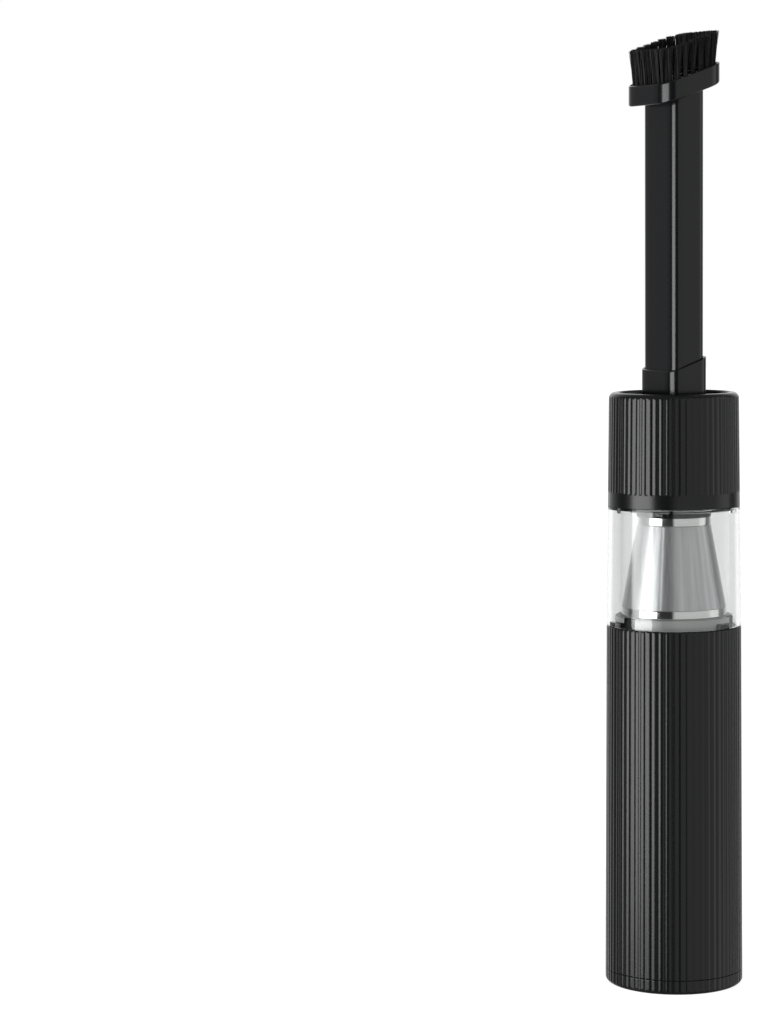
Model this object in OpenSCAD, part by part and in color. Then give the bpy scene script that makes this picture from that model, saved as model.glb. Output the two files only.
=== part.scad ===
// Slim battery vacuum cleaner for cars: a reeded handle, a clear dust cup with a cone filter,
// a reeded inlet collar, a flat crevice nozzle and a slide-back dusting brush.
// It stands on its base with +Z along its axis. +Y is the thumb side, with the switch.

/* [Handle casing] */
// Diameter over the reeds at the foot of the handle
casing_d = 60; // [58:0.5:66]
// Diameter over the reeds at the top of the handle
casing_top_d = 58.5; // [58:0.5:60]
// Length of the casing, without the base cap
casing_len = 151.2; // [149:0.1:175]
// Wall of the casing at its top, from the bore to the crest of the reeds
casing_wall = 2.4; // [2.2:0.1:2.8]
// Small round on the casing's top edge
casing_edge = 0.8; // [0.4:0.1:1]

/* [Reeding] */
// Number of reeds round the handle and the collar
reed_count = 64; // [48:1:72]
// Radius of the round-bottomed groove between two reeds
groove_r = 0.75; // [0.5:0.05:0.9]
// Depth of that groove below the crests
groove_depth = 0.6; // [0.4:0.05:0.8]

/* [Base cap] */
// Height of the cap that shows below the casing
base_h = 6.3; // [5:0.1:10]
// Round at the foot of the cap
base_edge = 3; // [1:0.5:4.5]
// Floor of the cap
base_floor = 2.2; // [2:0.1:3]
// Height of the spigot that goes up into the casing
base_spigot_h = 6; // [4:0.5:6.5]
// Wall of that spigot
base_spigot_wall = 1.8; // [1.2:0.1:2.2]
// Radius of the circle that the three base screws stand on
base_screw_ring = 20; // [19.5:0.5:21]

/* [Battery and board] */
// Diameter of one lithium cell
cell_d = 18.4; // [18:0.1:18.8]
// Length of one lithium cell
cell_len = 65.2; // [64:0.1:66]
// Gap between neighbouring cells
cell_gap = 0.6; // [0.4:0.1:1]
// Depth of the nests that hold the ends of the cells
nest_depth = 4; // [3:0.5:5]
// Thickness of the circuit boards
board_t = 1.6; // [1:0.1:2]
// Radius of the round control board
board_r = 23.6; // [23:0.2:24]
// Gap between the cap's spigot and the control board above it
board_lift = 0.2; // [0.1:0.1:2]

/* [Motor and fan] */
// Diameter of the motor can
motor_d = 33; // [30:0.5:34]
// Length of the motor can
motor_len = 31; // [29:0.5:33]
// Diameter of the motor shaft
shaft_d = 3.18; // [3:0.01:4]
// Outside diameter of the fan cover
fan_d = 40; // [39.5:0.5:41]
// Height of the fan cover
fan_h = 16; // [15.5:0.5:17]
// Number of impeller blades
blade_count = 9; // [7:1:11]

/* [Switch] */
// Diameter of the round push button
button_d = 11.8; // [10:0.2:12]
// How far the button travels
button_travel = 0.8; // [0.5:0.1:0.9]
// Distance of the button's centre below the top of the casing
button_drop = 39; // [38:0.5:42]

/* [Exhaust] */
// Number of slots in one row, one in each groove
exhaust_columns = 11; // [5:2:15]
// Number of rows of slots
exhaust_rows = 3; // [1:1:4]
// Height of one slot
exhaust_slot_h = 8; // [5:0.5:9]
// Width of one slot
exhaust_slot_w = 1.3; // [0.8:0.1:1.4]

/* [Dust cup] */
// Outside diameter of the clear cup
cup_d = 58.4; // [57.8:0.2:58.6]
// Wall of the clear cup
cup_wall = 2; // [1.6:0.1:2.2]
// Length of the cup that shows between the handle and the collar
cup_len = 52; // [50:0.5:70]
// How far the cup can be turned to free it from the handle, in degrees
cup_twist = 22; // [15:1:24]

/* [Filter] */
// Diameter of the polished lower ring of the filter
filter_d = 45.6; // [45:0.2:47]
// Diameter of the polished upper ring
filter_top_d = 32.4; // [31:0.2:36]
// Height of each polished ring
filter_ring_h = 3.8; // [3:0.1:5]
// Height of the mesh cone between the rings
mesh_h = 35.6; // [33:0.1:36]
// Thickness of the mesh sheet
mesh_t = 0.4; // [0.3:0.1:0.6]
// Number of pleats in the fine filter inside the cone
pleat_count = 36; // [24:2:40]

/* [Bayonet ring] */
// Outside diameter of the bright bayonet ring on top of the handle
bayonet_d = 51; // [50.6:0.2:51.4]
// Height of the bayonet ring
bayonet_h = 4.5; // [4:0.1:5]

/* [Collar] */
// Diameter of the collar at its smooth band
collar_d = 57.3; // [57:0.1:58]
// Diameter of the collar at its top
collar_top_d = 56.1; // [55:0.1:57]
// Height of the collar
collar_len = 49.3; // [46:0.1:60]
// Height of the smooth band at the foot of the collar
collar_band_h = 6.7; // [4:0.1:8]
// Wall of the collar at its narrower end, from the bore to the crest of the reeds
collar_wall = 1.4; // [1.2:0.1:1.5]
// Diameter of the open well in the top of the collar
well_d = 48; // [46:0.5:49]
// Round on the collar's top edge
collar_edge = 2.6; // [1:0.1:3]
// How far the collar can be turned to free it from the cup, in degrees
collar_twist = 14; // [8:1:20]

/* [Inlet sleeve] */
// Wall of the sleeve that grips the nozzle
sleeve_wall = 1.2; // [1:0.1:2]
// Height of the sleeve's mouth above the collar, at the middle
sleeve_rise = 12.6; // [12:0.1:30]
// Slope of the mouths and of the brush across the narrow way, in degrees
mouth_slope = 19; // [5:1:22]

/* [Crevice nozzle] */
// Width of the nozzle
nozzle_x = 27.5; // [24:0.1:28.5]
// Thickness of the nozzle
nozzle_y = 15.8; // [14:0.1:16.5]
// Radius of the nozzle's corners
nozzle_corner = 4; // [3:0.1:5]
// Wall of the nozzle
nozzle_wall = 1.4; // [1:0.1:2]
// Length of nozzle between the sleeve's mouth and the brush ring, at the middle
nozzle_reach = 115.1; // [100:0.1:150]
// How far the nozzle stands past the brush ring
nozzle_tip = 1; // [0.5:0.1:3]
// Depth of nozzle inside the sleeve, at the middle of its mouth
nozzle_grip = 36.1; // [34:0.1:40]

/* [Dusting brush] */
// Width of the brush ring
brush_x = 39.2; // [38:0.1:42]
// Thickness of the brush ring
brush_y = 29.4; // [28:0.1:32]
// Corner radius of the brush ring
brush_corner = 9; // [7:0.5:11]
// Height of the brush ring
brush_h = 8.8; // [7:0.1:12]
// Length of the bristles
bristle_len = 14.2; // [10:0.1:18]
// How much wider the bristles stand at their tips, as a factor
bristle_splay = 1.05; // [1:0.01:1.1]
// Radius of one drawn bristle
bristle_r = 0.3; // [0.2:0.01:0.32]
// Tufts in the outer row
outer_tufts = 26; // [20:1:28]
// Tufts in the inner row
inner_tufts = 20; // [14:1:22]

/* [Fits] */
// Gap between pieces that slide or turn by hand
slide_gap = 0.15; // [0.1:0.01:0.2]
// Gap between pieces that are seated and stay put
seat_gap = 0.05; // [0.03:0.01:0.1]
// Gap round the rotor's shaft in its bearings
shaft_gap = 0.03; // [0.02:0.01:0.08]

/* [Hidden] */
$fn = 96;

// Colours, as the object shows them
charcoal = "#2b2c2e";
soft_black = "#1c1d1f";
bright_steel = "#c9cbcd";
dull_steel = "#8e9194";
clear = [0.92, 0.95, 0.97, 0.35];

eps = 0.01;
reach = 3.5 * casing_d;
back = 90;
front = -90;

// Heights of the main seams
z_casing = base_h;
z_top = z_casing + casing_len;
z_collar = z_top + cup_len;
z_collar_top = z_collar + collar_len;
board_z = base_h + base_spigot_h + board_lift;

// Radii of the handle
casing_r = casing_d / 2;
casing_top_r = casing_top_d / 2;
bore_r = min(casing_r, casing_top_r) - casing_wall;
casing_draft = atan((casing_r - casing_top_r) / casing_len);
seated_r = bore_r - seat_gap;

function on_circle(r, turn) = r * [cos(turn), sin(turn)];

// Points of an arc, from one angle to another
function arc(centre, r, from, to, steps) =
    [for (i = [0:steps]) centre + on_circle(r, from + (to - from) * i / steps)];

// Ring about the axis, from one radius to another
module ring(r_in, r_out, z, h) {
    rotate_extrude() translate([r_in, z]) square([r_out - r_in, h]);
}

// Part of such a ring, from a start angle over a spread
module ring_part(r_in, r_out, z, h, from, spread) {
    rotate([0, 0, from]) rotate_extrude(angle = spread) translate([r_in, z]) square([r_out - r_in, h]);
}

module disc(r, z, h) {
    translate([0, 0, z]) cylinder(r = r, h = h);
}

module rounded_rect(x, y, r) {
    square([x - 2 * r, y], center = true);
    square([x, y - 2 * r], center = true);
    for (sx = [-1, 1], sy = [-1, 1]) {
        translate([sx * (x / 2 - r), sy * (y / 2 - r)]) circle(r = r);
    }
}

module rounded_bar(x, y, r, z, h) {
    translate([0, 0, z]) linear_extrude(h) rounded_rect(x, y, r);
}

// Everything above the sloped plane that crosses the axis at height z
module above_slope(z) {
    translate([0, 0, z]) rotate([mouth_slope, 0, 0]) translate([-reach / 2, -reach / 2, 0])
        cube([reach, reach, reach]);
}

// Round-bottomed grooves that leave the reeds, on a taper from r_low to r_high
module reed_grooves(r_low, r_high, z, h) {
    lean = atan((r_low - r_high) / h);
    for (i = [0:reed_count - 1]) {
        rotate([0, 0, back + i * 360 / reed_count])
            translate([r_low + groove_r - groove_depth, 0, z]) rotate([0, -lean, 0])
                cylinder(r = groove_r, h = h / cos(lean), $fn = 24);
    }
}

// Three places round the axis, a third of a turn apart
module three(first) {
    for (i = [0:2]) {
        rotate([0, 0, first + i * 120]) children();
    }
}

// Base cap and its screws
base_boss_r = 3.4;
screw_r = 1.25;
screw_head_r = 2.5;
screw_head_h = 1.6;
screw_recess = 2.1;
screw_len = 16;
screw_slot = 0.7;
screw_tip = screw_recess + screw_len;
spigot_in_r = seated_r - base_spigot_wall;

module at_base_screws() {
    three(front) translate([base_screw_ring, 0, 0]) children();
}

module base_cap() {
    color(charcoal) difference() {
        union() {
            difference() {
                rotate_extrude() polygon(concat(
                    [[0, 0]],
                    arc([casing_r - base_edge, base_edge], base_edge, -90, 0, 8),
                    [[casing_r, base_h], [0, base_h]]));
                disc(spigot_in_r, base_floor, base_h);
                reed_grooves(casing_r, casing_r, base_edge / 2, base_h);
            }
            ring(spigot_in_r, seated_r, base_h - eps, base_spigot_h + eps);
            at_base_screws() disc(base_boss_r, base_floor - eps, board_z - base_floor + eps);
        }
        at_base_screws() {
            disc(screw_r + slide_gap, -eps, board_z + 1);
            disc(screw_head_r + slide_gap, -eps, screw_recess + eps);
        }
    }
}

module base_screws() {
    color(dull_steel) at_base_screws() difference() {
        union() {
            disc(screw_head_r, screw_recess - screw_head_h, screw_head_h);
            disc(screw_r, screw_recess - eps, screw_len);
        }
        for (turn = [0, 90]) {
            translate([0, 0, screw_recess - screw_head_h]) rotate([0, 0, turn])
                cube([screw_head_r * 1.3, screw_slot, screw_head_h], center = true);
        }
    }
}

// Control board, with the charging socket that looks out at the back
z_board_top = board_z + board_t;
port_w = 8.9;
port_h = 3.2;
port_len = 7.3;
port_wall = 0.3;
port_sink = 1;
port_mouth = casing_r - port_sink;
port_floor = port_mouth - port_len + 1;
port_z = z_board_top + port_h / 2;
lead_ring = 22.2;
lead_turn = 330;
lead_r = 0.8;
lead_gap = 1.1;

// Slot with half-round ends that runs out along +Y
module flat_slot(w, h, z, from, to) {
    translate([0, from, z]) rotate([-90, 0, 0]) linear_extrude(to - from) {
        square([w - h, h], center = true);
        for (side = [-1, 1]) translate([side * (w - h) / 2, 0]) circle(d = h);
    }
}

module control_board() {
    color("#20402c") difference() {
        disc(board_r, board_z, board_t);
        at_base_screws() disc(screw_r + slide_gap, board_z - 1, board_t + 2);
    }
}

module board_components() {
    chip_w = 7;
    chip_t = 1.2;
    coil_x = -12;
    coil_y = 2;
    coil_r = 3.2;
    coil_h = 4;
    capacitor_x = 10;
    capacitor_y = 6;
    far_capacitor_x = -9;
    far_capacitor_y = 14;
    capacitor_r = 2.5;
    capacitor_h = 5.6;
    driver_x = 5;
    driver_y = -13;
    driver_w = 5;
    driver_d = 4;
    driver_t = 1;
    color("#26282b") {
        translate([-chip_w / 2, -chip_w / 2, z_board_top]) cube([chip_w, chip_w, chip_t]);
        translate([coil_x, coil_y, 0]) disc(coil_r, z_board_top, coil_h);
        translate([capacitor_x, capacitor_y, 0]) disc(capacitor_r, z_board_top, capacitor_h);
        translate([far_capacitor_x, far_capacitor_y, 0]) disc(capacitor_r, z_board_top, capacitor_h);
        translate([driver_x, driver_y, z_board_top]) cube([driver_w, driver_d, driver_t]);
    }
}

module charge_port() {
    tongue = [6.6, 5, 0.7];
    color(dull_steel) {
        difference() {
            flat_slot(port_w, port_h, port_z, port_mouth - port_len, port_mouth);
            flat_slot(port_w - 2 * port_wall, port_h - 2 * port_wall, port_z, port_floor, port_mouth + 1);
        }
        translate([-tongue[0] / 2, port_floor - eps, port_z - tongue[2] / 2]) cube(tongue);
    }
}

// Cells, their holders and the leads
leg_h = 6.4;
holder_floor = 2;
tab_t = 0.25;
tab_w = 7;
leg_r = 3;
cell_ring = (cell_d + cell_gap) / sqrt(3);
nest_r = cell_d / 2 + slide_gap;
z_holder = z_board_top + leg_h;
z_cells = z_holder + holder_floor + tab_t;
z_cells_top = z_cells + cell_len;
z_upper = z_cells_top - nest_depth;
z_upper_top = z_cells_top + tab_t + holder_floor;
window_r = 4;
window_edge = 2.4;
window_ring = seated_r - window_edge - window_r;

// The room that the cells and their tabs take, over a height
module nests(z, h) {
    three(front) translate([cell_ring, 0, 0]) disc(nest_r, z, h);
    disc(nest_r * 0.65, z, h);
}

module air_windows(z, h) {
    three(back) translate([window_ring, 0, 0]) disc(window_r, z, h);
}

// Way for the two leads, which also runs through one of the windows
module lead_way(z, h) {
    rotate([0, 0, lead_turn]) for (side = [-1, 1]) {
        translate([lead_ring, side * lead_gap, 0]) disc(lead_r + slide_gap, z, h);
    }
}

module lower_cell_holder() {
    color(soft_black) difference() {
        union() {
            disc(seated_r, z_holder, holder_floor + tab_t + nest_depth);
            at_base_screws() disc(leg_r, z_board_top, leg_h + eps);
        }
        nests(z_holder + holder_floor, nest_depth + 1);
        air_windows(z_holder - 1, nest_depth + 10);
        lead_way(z_holder - 1, nest_depth + 10);
        at_base_screws() disc(screw_r + seat_gap, z_board_top - 1, screw_tip + 1.5 - z_board_top);
    }
}

module battery_cells() {
    button_r = 2.8;
    button_t = 0.2;
    color("#3a6f9a") three(front) translate([cell_ring, 0, 0]) {
        disc(cell_d / 2, z_cells, cell_len - button_t);
        disc(button_r, z_cells, cell_len);
    }
}

module tab_star(z) {
    three(front) translate([-tab_w / 4, -tab_w / 2, z]) cube([cell_ring + tab_w * 0.75, tab_w, tab_t]);
}

module cell_tabs() {
    color("silver") {
        tab_star(z_cells - tab_t);
        tab_star(z_cells_top);
    }
}

// Upper holder, with the ring that carries the motor's rubber mount
mount_wall = 3.1;
mount_floor = 2.5;
mount_h = 5.5;
mount_eye_r = 10;
motor_r = motor_d / 2;
mount_r = motor_r + mount_wall;
holder_wall = 1.6;
holder_ledge = 2.4;

seat_h = 8.5;
fan_step = 1.6;
fan_wall = 1.2;
fan_r = fan_d / 2;
z_seat = z_top - seat_h;
z_fan_top = z_seat - fan_step;
z_fan = z_fan_top - fan_h;
can_lift = 1;
z_motor_top = z_fan + can_lift;
z_motor = z_motor_top - motor_len;
z_mount = z_motor - mount_floor;

module upper_cell_holder() {
    color(soft_black) {
        difference() {
            disc(seated_r, z_upper, z_upper_top - z_upper);
            nests(z_upper - 1, nest_depth + tab_t + 1);
            air_windows(z_upper - 1, nest_depth + 10);
            lead_way(z_upper - 1, nest_depth + 10);
        }
        difference() {
            ring(mount_r - holder_ledge, mount_r + seat_gap + holder_wall, z_upper_top - eps,
                z_motor + mount_h / 2 - z_upper_top);
            disc(mount_r + seat_gap, z_mount, mount_h + 10);
            three(back) translate([mount_r, 0, z_upper_top + holder_floor + 1.5])
                cube([3 * holder_ledge, 10, 3], center = true);
        }
    }
}

module power_leads() {
    z_bend = z_motor + 12;
    run_in = lead_ring - sqrt(motor_r * motor_r - pow(lead_gap - lead_r, 2));
    color("#8c2f2a") rotate([0, 0, lead_turn]) for (side = [-1, 1]) {
        translate([lead_ring, side * lead_gap, 0]) {
            disc(lead_r, z_board_top, z_bend - z_board_top);
            translate([0, 0, z_bend]) {
                sphere(r = lead_r);
                rotate([0, -90, 0]) cylinder(r = lead_r, h = run_in);
            }
        }
    }
}

// Motor
can_t = 1;
can_in_r = motor_r - can_t;
shaft_r = shaft_d / 2;
bearing_r = 4.5;
bearing_h = 3;
hub_r = 5.7;
hub_h = 3.2;
cap_t = 1.5;
stator_gap = 5;
stator_h = motor_len - 2 * can_t - 2 * stator_gap;
stator_in_r = 9.3;
tooth_w = 4;
back_iron = 2.6;
rotor_r = 8.8;
z_stator = z_motor + can_t + stator_gap;

module motor_mount() {
    color("#2f2f31") difference() {
        disc(mount_r, z_mount, mount_floor + mount_h);
        disc(motor_r + seat_gap, z_motor, mount_h + 1);
        disc(mount_eye_r, z_mount - 1, mount_floor + 3);
    }
}

module motor_can() {
    color(dull_steel) {
        ring(can_in_r, motor_r, z_motor, motor_len);
        ring(bearing_r + seat_gap, motor_r - eps, z_motor, can_t);
        ring(bearing_r + seat_gap, hub_r, z_motor, can_t + hub_h);
    }
}

module motor_stator() {
    color("#77797c") difference() {
        union() {
            ring(can_in_r - seat_gap - back_iron, can_in_r - seat_gap, z_stator, stator_h);
            three(front) for (half = [0, 60]) rotate([0, 0, half])
                translate([stator_in_r - 1, -tooth_w / 2, z_stator])
                    cube([can_in_r - seat_gap - back_iron - stator_in_r + 1.5, tooth_w, stator_h]);
        }
        disc(stator_in_r, z_stator - 1, stator_h + 2);
    }
}

module motor_windings() {
    coil_t = 1.1;
    coil_in = stator_in_r + 0.8;
    coil_out = can_in_r - seat_gap - back_iron - 0.8;
    color("#a5602c") three(front) for (half = [0, 60]) rotate([0, 0, half]) difference() {
        translate([coil_in, -tooth_w / 2 - coil_t, z_stator - coil_t - seat_gap])
            cube([coil_out - coil_in, tooth_w + 2 * coil_t, stator_h + 2 * coil_t + 2 * seat_gap]);
        translate([coil_in - 1, -tooth_w / 2 - seat_gap, z_stator - seat_gap])
            cube([coil_out - coil_in + 2, tooth_w + 2 * seat_gap, stator_h + 2 * seat_gap]);
    }
}

module motor_end_cap() {
    color(dull_steel) {
        ring(bearing_r + seat_gap, can_in_r - seat_gap, z_motor_top - cap_t, cap_t);
        ring(bearing_r + seat_gap, hub_r, z_motor_top - can_t - hub_h, hub_h);
    }
}

module motor_bearings() {
    color("silver") for (z = [z_motor + can_t, z_motor_top - can_t - bearing_h]) {
        ring(shaft_r + shaft_gap, bearing_r, z, bearing_h);
    }
}

// Fan
diffuser_t = 1.5;
blade_clear = 0.6;
impeller_t = 1.2;
fan_in_r = fan_r - fan_wall;
diffuser_r = fan_in_r - 1.8;
impeller_r = diffuser_r - 0.4;
z_diffuser_top = z_motor_top + diffuser_t;
z_impeller = z_diffuser_top + blade_clear;
blade_h = z_fan_top - fan_wall - blade_clear - z_impeller - impeller_t;
blade_t = 0.9;
eye_r = 8.5;
hub_top_r = 3.4;
vane_count = 12;

module rotor_shaft() {
    color("silver") disc(shaft_r, z_motor + 0.5, z_impeller + impeller_t + blade_h - z_motor - 0.5);
}

module rotor_magnet() {
    color("#4a4c50") ring(shaft_r, rotor_r, z_stator, stator_h);
}

// Backward-curved blade, an arc of a ring that starts at the eye
module blade(z, h) {
    bend_r = impeller_r * 0.62;
    intersection() {
        translate([impeller_r * 0.38, bend_r * 0.75, 0])
            ring(bend_r - blade_t / 2, bend_r + blade_t / 2, z, h);
        ring(eye_r - 2, impeller_r - 0.2, z, h);
        translate([0, -impeller_r, z]) cube([impeller_r, impeller_r, h]);
    }
}

module impeller() {
    color("#d8dadb") {
        ring(shaft_r, impeller_r, z_impeller, impeller_t);
        ring(shaft_r, hub_top_r, z_impeller, impeller_t + blade_h * 0.8);
        for (i = [0:blade_count - 1]) rotate([0, 0, i * 360 / blade_count])
            blade(z_impeller + impeller_t - eps, blade_h + eps);
    }
}

module diffuser() {
    color("#3a3c3f") {
        difference() {
            disc(diffuser_r, z_motor_top, diffuser_t);
            disc(bearing_r, z_motor_top - 1, diffuser_t + 2);
        }
        for (i = [0:vane_count - 1]) rotate([0, 0, i * 360 / vane_count])
            translate([diffuser_r - 0.5, -0.5, z_motor_top])
                cube([fan_in_r - seat_gap - diffuser_r + 0.4, 1, diffuser_t]);
    }
}

module fan_cover() {
    color("#3a3c3f") {
        ring(fan_in_r, fan_r, z_fan, fan_h);
        ring(eye_r, fan_r - eps, z_fan_top - fan_wall, fan_wall);
    }
}

module fan_mount() {
    lip_r = eye_r + 6;
    skirt = 3;
    color("#2f2f31") rotate_extrude() polygon([
        [fan_r + seat_gap, z_fan_top - skirt], [seated_r, z_fan_top - skirt], [seated_r, z_seat],
        [lip_r, z_seat], [lip_r, z_fan_top], [fan_r + seat_gap, z_fan_top]]);
}

// Exhaust slots in the grooves at the back, over a pad of foam
exhaust_z = 62;
exhaust_pitch = exhaust_slot_h + 3;
exhaust_span = (exhaust_columns - 1) * 360 / reed_count;
foam_t = 1.6;

module exhaust_slots() {
    for (row = [0:exhaust_rows - 1], column = [0:exhaust_columns - 1]) {
        z = exhaust_z + (row - (exhaust_rows - 1) / 2) * exhaust_pitch;
        rotate([0, 0, back - exhaust_span / 2 + column * 360 / reed_count])
            translate([bore_r + 2, 0, z])
                cube([10, exhaust_slot_w, exhaust_slot_h], center = true);
    }
}

module exhaust_foam() {
    h = exhaust_rows * exhaust_pitch + 2;
    margin = 4;
    color("#3d3d40") ring_part(seated_r - foam_t, seated_r, exhaust_z - h / 2, h,
        back - exhaust_span / 2 - margin, exhaust_span + 2 * margin);
}

// Switch at the back
z_button = z_top - button_drop;
button_r = button_d / 2;
button_flange_r = button_r + 1;
button_flange_t = 0.8;
y_flange = sqrt(bore_r * bore_r - button_flange_r * button_flange_r) - 0.2;
y_core = y_flange - button_flange_t + 0.45;
plunger_r = 1.6;
plunger_h = 0.75;
tact_w = 6;
tact_h = 3.2;
y_tact = y_core - button_travel - seat_gap - plunger_h;
y_switch_board = y_tact - tact_h;
switch_board_w = 17.2;
switch_board_low = 7;
switch_board_high = 11;
light_rise = 9;
light_r = 1.4;
chip_h = 1.2;
casing_r_at_button = casing_r - (z_button - z_casing) * tan(casing_draft);
y_boss = casing_r_at_button + 0.1;
boss_wall = 1.7;
rail_w = 1.4;

// Rod that stands out along +Y at a height
module back_rod(r, z, from, to) {
    translate([0, from, z]) rotate([-90, 0, 0]) cylinder(r = r, h = to - from);
}

module switch_board() {
    color("#20402c") {
        translate([-switch_board_w / 2, y_switch_board - board_t, z_button - switch_board_low])
            cube([switch_board_w, board_t, switch_board_low + switch_board_high]);
        translate([-1, y_switch_board - eps, z_button + light_rise - 1]) cube([2, chip_h + eps, 2]);
    }
}

module tact_switch() {
    color("#26282b") {
        translate([-tact_w / 2, y_switch_board, z_button - tact_w / 2]) cube([tact_w, tact_h, tact_w]);
        back_rod(plunger_r, z_button, y_tact - eps, y_tact + plunger_h);
    }
}

module power_button() {
    dish = 0.8;
    cap_top = y_boss - y_core;
    color("#3b3d40") translate([0, y_core, z_button]) rotate([-90, 0, 0]) {
        rotate_extrude() polygon([
            [0, 0], [button_r, 0], [button_r, cap_top - dish / 2], [button_r - dish / 2, cap_top],
            [button_r - 2 * dish, cap_top], [0, cap_top - dish / 2]]);
        translate([0, 0, y_flange - button_flange_t - y_core])
            ring(2 * plunger_r, button_flange_r, 0, button_flange_t);
    }
}

module status_light() {
    y_from = y_switch_board + chip_h + seat_gap;
    color("#dfe9ee") back_rod(light_r, z_button + light_rise, y_from, y_boss - 0.6);
}

// Two rails inside the casing that hold the switch board by its edges
module switch_rails() {
    y_from = y_switch_board - board_t - rail_w;
    z_from = z_button - switch_board_low;
    board_h = switch_board_low + switch_board_high;
    intersection() {
        difference() {
            for (side = [-1, 1]) translate([side * switch_board_w / 2 - rail_w, y_from, z_from - 0.5])
                cube([2 * rail_w, reach, board_h + 1]);
            translate([0, y_switch_board - board_t / 2, z_from + board_h / 2 + 1 - seat_gap])
                cube([switch_board_w + 2 * seat_gap, board_t + 2 * seat_gap, board_h + 2], center = true);
        }
        disc(bore_r + 0.4, 0, z_top);
    }
}

module body_casing() {
    plug_recess = [11.5, 6];
    color(charcoal) {
        difference() {
            union() {
                difference() {
                    rotate_extrude() polygon(concat(
                        [[bore_r, z_casing], [casing_r, z_casing]],
                        arc([casing_top_r - casing_edge, z_top - casing_edge], casing_edge, 0, 90, 4),
                        [[bore_r, z_top]]));
                    reed_grooves(casing_r, casing_top_r, z_casing - eps, casing_len + 2 * eps);
                }
                back_rod(button_r + slide_gap + boss_wall, z_button, bore_r - 1.5, y_boss);
                back_rod(light_r + boss_wall / 2, z_button + light_rise, bore_r - 1, y_boss - 0.4);
            }
            back_rod(button_r + slide_gap, z_button, bore_r - 4, y_boss + 1);
            back_rod(light_r + seat_gap, z_button + light_rise, bore_r - 4, y_boss + 1);
            flat_slot(port_w + 2 * slide_gap, port_h + 2 * slide_gap, port_z, bore_r - 2, casing_r + 1);
            flat_slot(plug_recess[0], plug_recess[1], port_z, port_mouth, casing_r + 1);
            exhaust_slots();
            ring(seal_r - seal_w / 2, seal_r + seal_w / 2, z_top - seal_t, 1);
            translate([0, 0, z_button]) rotate([-90, 0, 0])
                cylinder(r = button_flange_r + slide_gap, h = y_flange + 0.1);
        }
        switch_rails();
    }
}

// Seat of the filter on top of the handle, and the bright ring that the cup locks on
bayonet_r = bayonet_d / 2;
bayonet_t = 1.2;
bayonet_lip = 0.8;
neck_r = bayonet_r - bayonet_t - seat_gap;
neck_wall = 2.8;
neck_in_r = neck_r - neck_wall;
z_bayonet_top = z_top + bayonet_h;
z_neck_top = z_bayonet_top - bayonet_lip;
grille_t = 2;
grille_hub_r = 4;
grille_spokes = 8;
spoke_w = 1.6;
cup_lug_arc = 12;
cup_lug_h = 1.6;
lug_from = front - cup_lug_arc / 2 - cup_twist / 2;
slot_h = cup_lug_h + 0.6;

module intake_seat() {
    core_wall = 1.4;
    color(soft_black) {
        difference() {
            union() {
                ring(neck_in_r, seated_r, z_seat, seat_h);
                ring(neck_in_r, neck_r, z_top - eps, z_neck_top - z_top + eps);
            }
            ring(neck_in_r + core_wall, seated_r - core_wall, z_seat - 1, seat_h - 1);
        }
        disc(grille_hub_r, z_seat, grille_t);
        ring(neck_in_r * 0.55, neck_in_r * 0.55 + spoke_w, z_seat, grille_t);
        for (i = [0:grille_spokes - 1]) rotate([0, 0, i * 360 / grille_spokes])
            translate([grille_hub_r - 0.5, -spoke_w / 2, z_seat])
                cube([neck_in_r - grille_hub_r + 1, spoke_w, grille_t]);
    }
}

// An angle-section ring with three slots, each with a way in from above at one end
module bayonet_ring() {
    wall_in_r = bayonet_r - bayonet_t;
    slot_end = 1;
    color(bright_steel) difference() {
        rotate_extrude() polygon([
            [wall_in_r, z_top], [bayonet_r, z_top], [bayonet_r, z_bayonet_top],
            [neck_in_r + 0.2, z_bayonet_top], [neck_in_r + 0.2, z_neck_top], [wall_in_r, z_neck_top]]);
        for (i = [0:2]) {
            ring_part(wall_in_r - 0.5, bayonet_r + 1, z_top - 1, slot_h + 1,
                lug_from - slot_end + i * 120, cup_lug_arc + cup_twist + 2 * slot_end);
            ring_part(wall_in_r - 0.15, bayonet_r + 1, z_top - 1, bayonet_h + 2,
                lug_from + cup_twist - 1.5 + i * 120, cup_lug_arc + 3);
        }
    }
}

// Clear dust cup
cup_r = cup_d / 2;
cup_in_r = cup_r - cup_wall;
collar_r = collar_d / 2;
collar_bore_r = min(collar_r, collar_top_d / 2) - collar_wall;
cup_top_r = collar_r;
cup_top_in_r = cup_top_r - cup_wall;
cup_shoulder = 1;
spigot_r = collar_bore_r - slide_gap;
spigot_wall = 1.6;
spigot_h = 13;
z_spigot = z_collar + spigot_h;
cup_lift = seat_gap;
seal_w = 1;
seal_t = 0.8;
seal_land = 0.55;
seal_r = bore_r + seal_land + seal_w / 2;
key_arc = 2.4;
key_h = 2.2;
key_t = 0.65;
key_r = collar_bore_r + 0.1;
key_way = 0.5;
collar_lug_arc = 8;
collar_lug_h = 2;
collar_lug_t = 0.65;
collar_lug_z = z_collar + 5.9;
turn_gap = 1;

module cup_seal() {
    color("#2f2f31") ring(seal_r - seal_w / 2 + eps, seal_r + seal_w / 2 - eps, z_top - seal_t, seal_t);
}

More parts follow.
